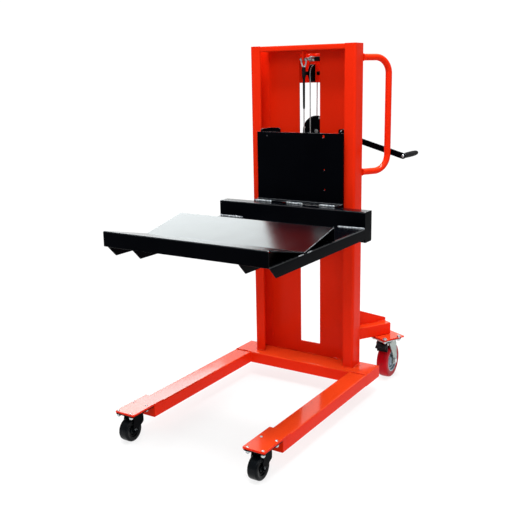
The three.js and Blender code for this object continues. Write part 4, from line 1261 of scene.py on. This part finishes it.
def casters():
    for side, sign in SIDES:
        front = Matrix.Translation((sign * FRONT_CASTER["x"], FRONT_CASTER["y"], 0))
        caster("front", side, front, FRONT_CASTER, "black", "black_tyre", "black_tyre", "black")
        rear = Matrix.Translation((sign * REAR_CASTER["x"], REAR_CASTER["y"], 0))
        rear = rear @ Matrix.Rotation(math.radians(REAR_YAW[side]), 4, "Z")
        caster("rear", side, rear, REAR_CASTER, "fork_zinc", "red_tyre", "hub", "zinc")
        brake(side, rear)


# ---- studio ----
def studio():
    def stand(name, data, place):
        obj = bpy.data.objects.new(name, data)
        bpy.context.scene.collection.objects.link(obj)
        obj.matrix_world = place
        return obj

    scene = bpy.context.scene
    yaw, pitch, roll = (math.radians(a) for a in CAMERA_ANGLES)
    ahead = Vector((-math.sin(yaw) * math.cos(pitch), math.cos(yaw) * math.cos(pitch), -math.sin(pitch)))
    right = Vector((math.cos(yaw), math.sin(yaw), 0))
    up = right.cross(ahead)
    right, up = (
        math.cos(roll) * right + math.sin(roll) * up,
        -math.sin(roll) * right + math.cos(roll) * up,
    )
    turn = Matrix((right, up, -ahead)).transposed().to_4x4()
    data = bpy.data.cameras.new("camera")
    data.lens, data.sensor_width = CAMERA_LENS, 36
    data.clip_end = 200
    scene.camera = stand("camera", data, Matrix.Translation(ORIGIN + Vector(CAMERA_SPOT) * MM) @ turn)

    bm = bmesh.new()
    bmesh.ops.create_grid(bm, x_segments=1, y_segments=1, size=60)
    mesh = bpy.data.meshes.new("floor")
    bm.to_mesh(mesh)
    bm.free()
    mesh.materials.append(pale_floor())
    stand("floor", mesh, Matrix.Translation((0, 0, 0)))

    for name, spot, target, size, power, tint in LAMPS:
        data = bpy.data.lights.new(name, "AREA")
        data.shape = "RECTANGLE"
        data.size, data.size_y = size
        data.energy = power
        data.color = tint
        spot, target = Vector(spot), Vector(target)
        facing = (target - spot).to_track_quat("-Z", "Y").to_matrix().to_4x4()
        stand(name, data, Matrix.Translation(spot) @ facing)

    world = bpy.data.worlds.new("studio")
    scene.world = world
    world.use_nodes = True
    nodes, links = world.node_tree.nodes, world.node_tree.links
    place = nodes.new("ShaderNodeTexCoord")
    dot = nodes.new("ShaderNodeVectorMath")
    dot.operation = "DOT_PRODUCT"
    dot.inputs[1].default_value = (-math.sin(yaw), math.cos(yaw), 0)
    spread = nodes.new("ShaderNodeMapRange")
    for key, number in (("From Min", 0.5), ("From Max", 0.8), ("To Min", WORLD_DIM), ("To Max", WORLD_WHITE)):
        spread.inputs[key].default_value = number
    links.new(place.outputs["Generated"], dot.inputs[0])
    links.new(dot.outputs["Value"], spread.inputs["Value"])
    links.new(spread.outputs["Result"], nodes["Background"].inputs["Strength"])
    nodes["Background"].inputs["Color"].default_value = (1, 1, 1, 1)
    scene.view_settings.view_transform = "Standard"


studio()
base()
mast()
outriggers()
handles()
frame_welds()
sheave(TOP_SHEAVE, "high_sheave", "top_pulley", "top_pulley")
sheave(LOW_SHEAVE, "low_sheave", "moving_pulley", "moving_pulley")
sheave_box()
anchor()
ropes()
winch()
crank()
carriage()
casters()
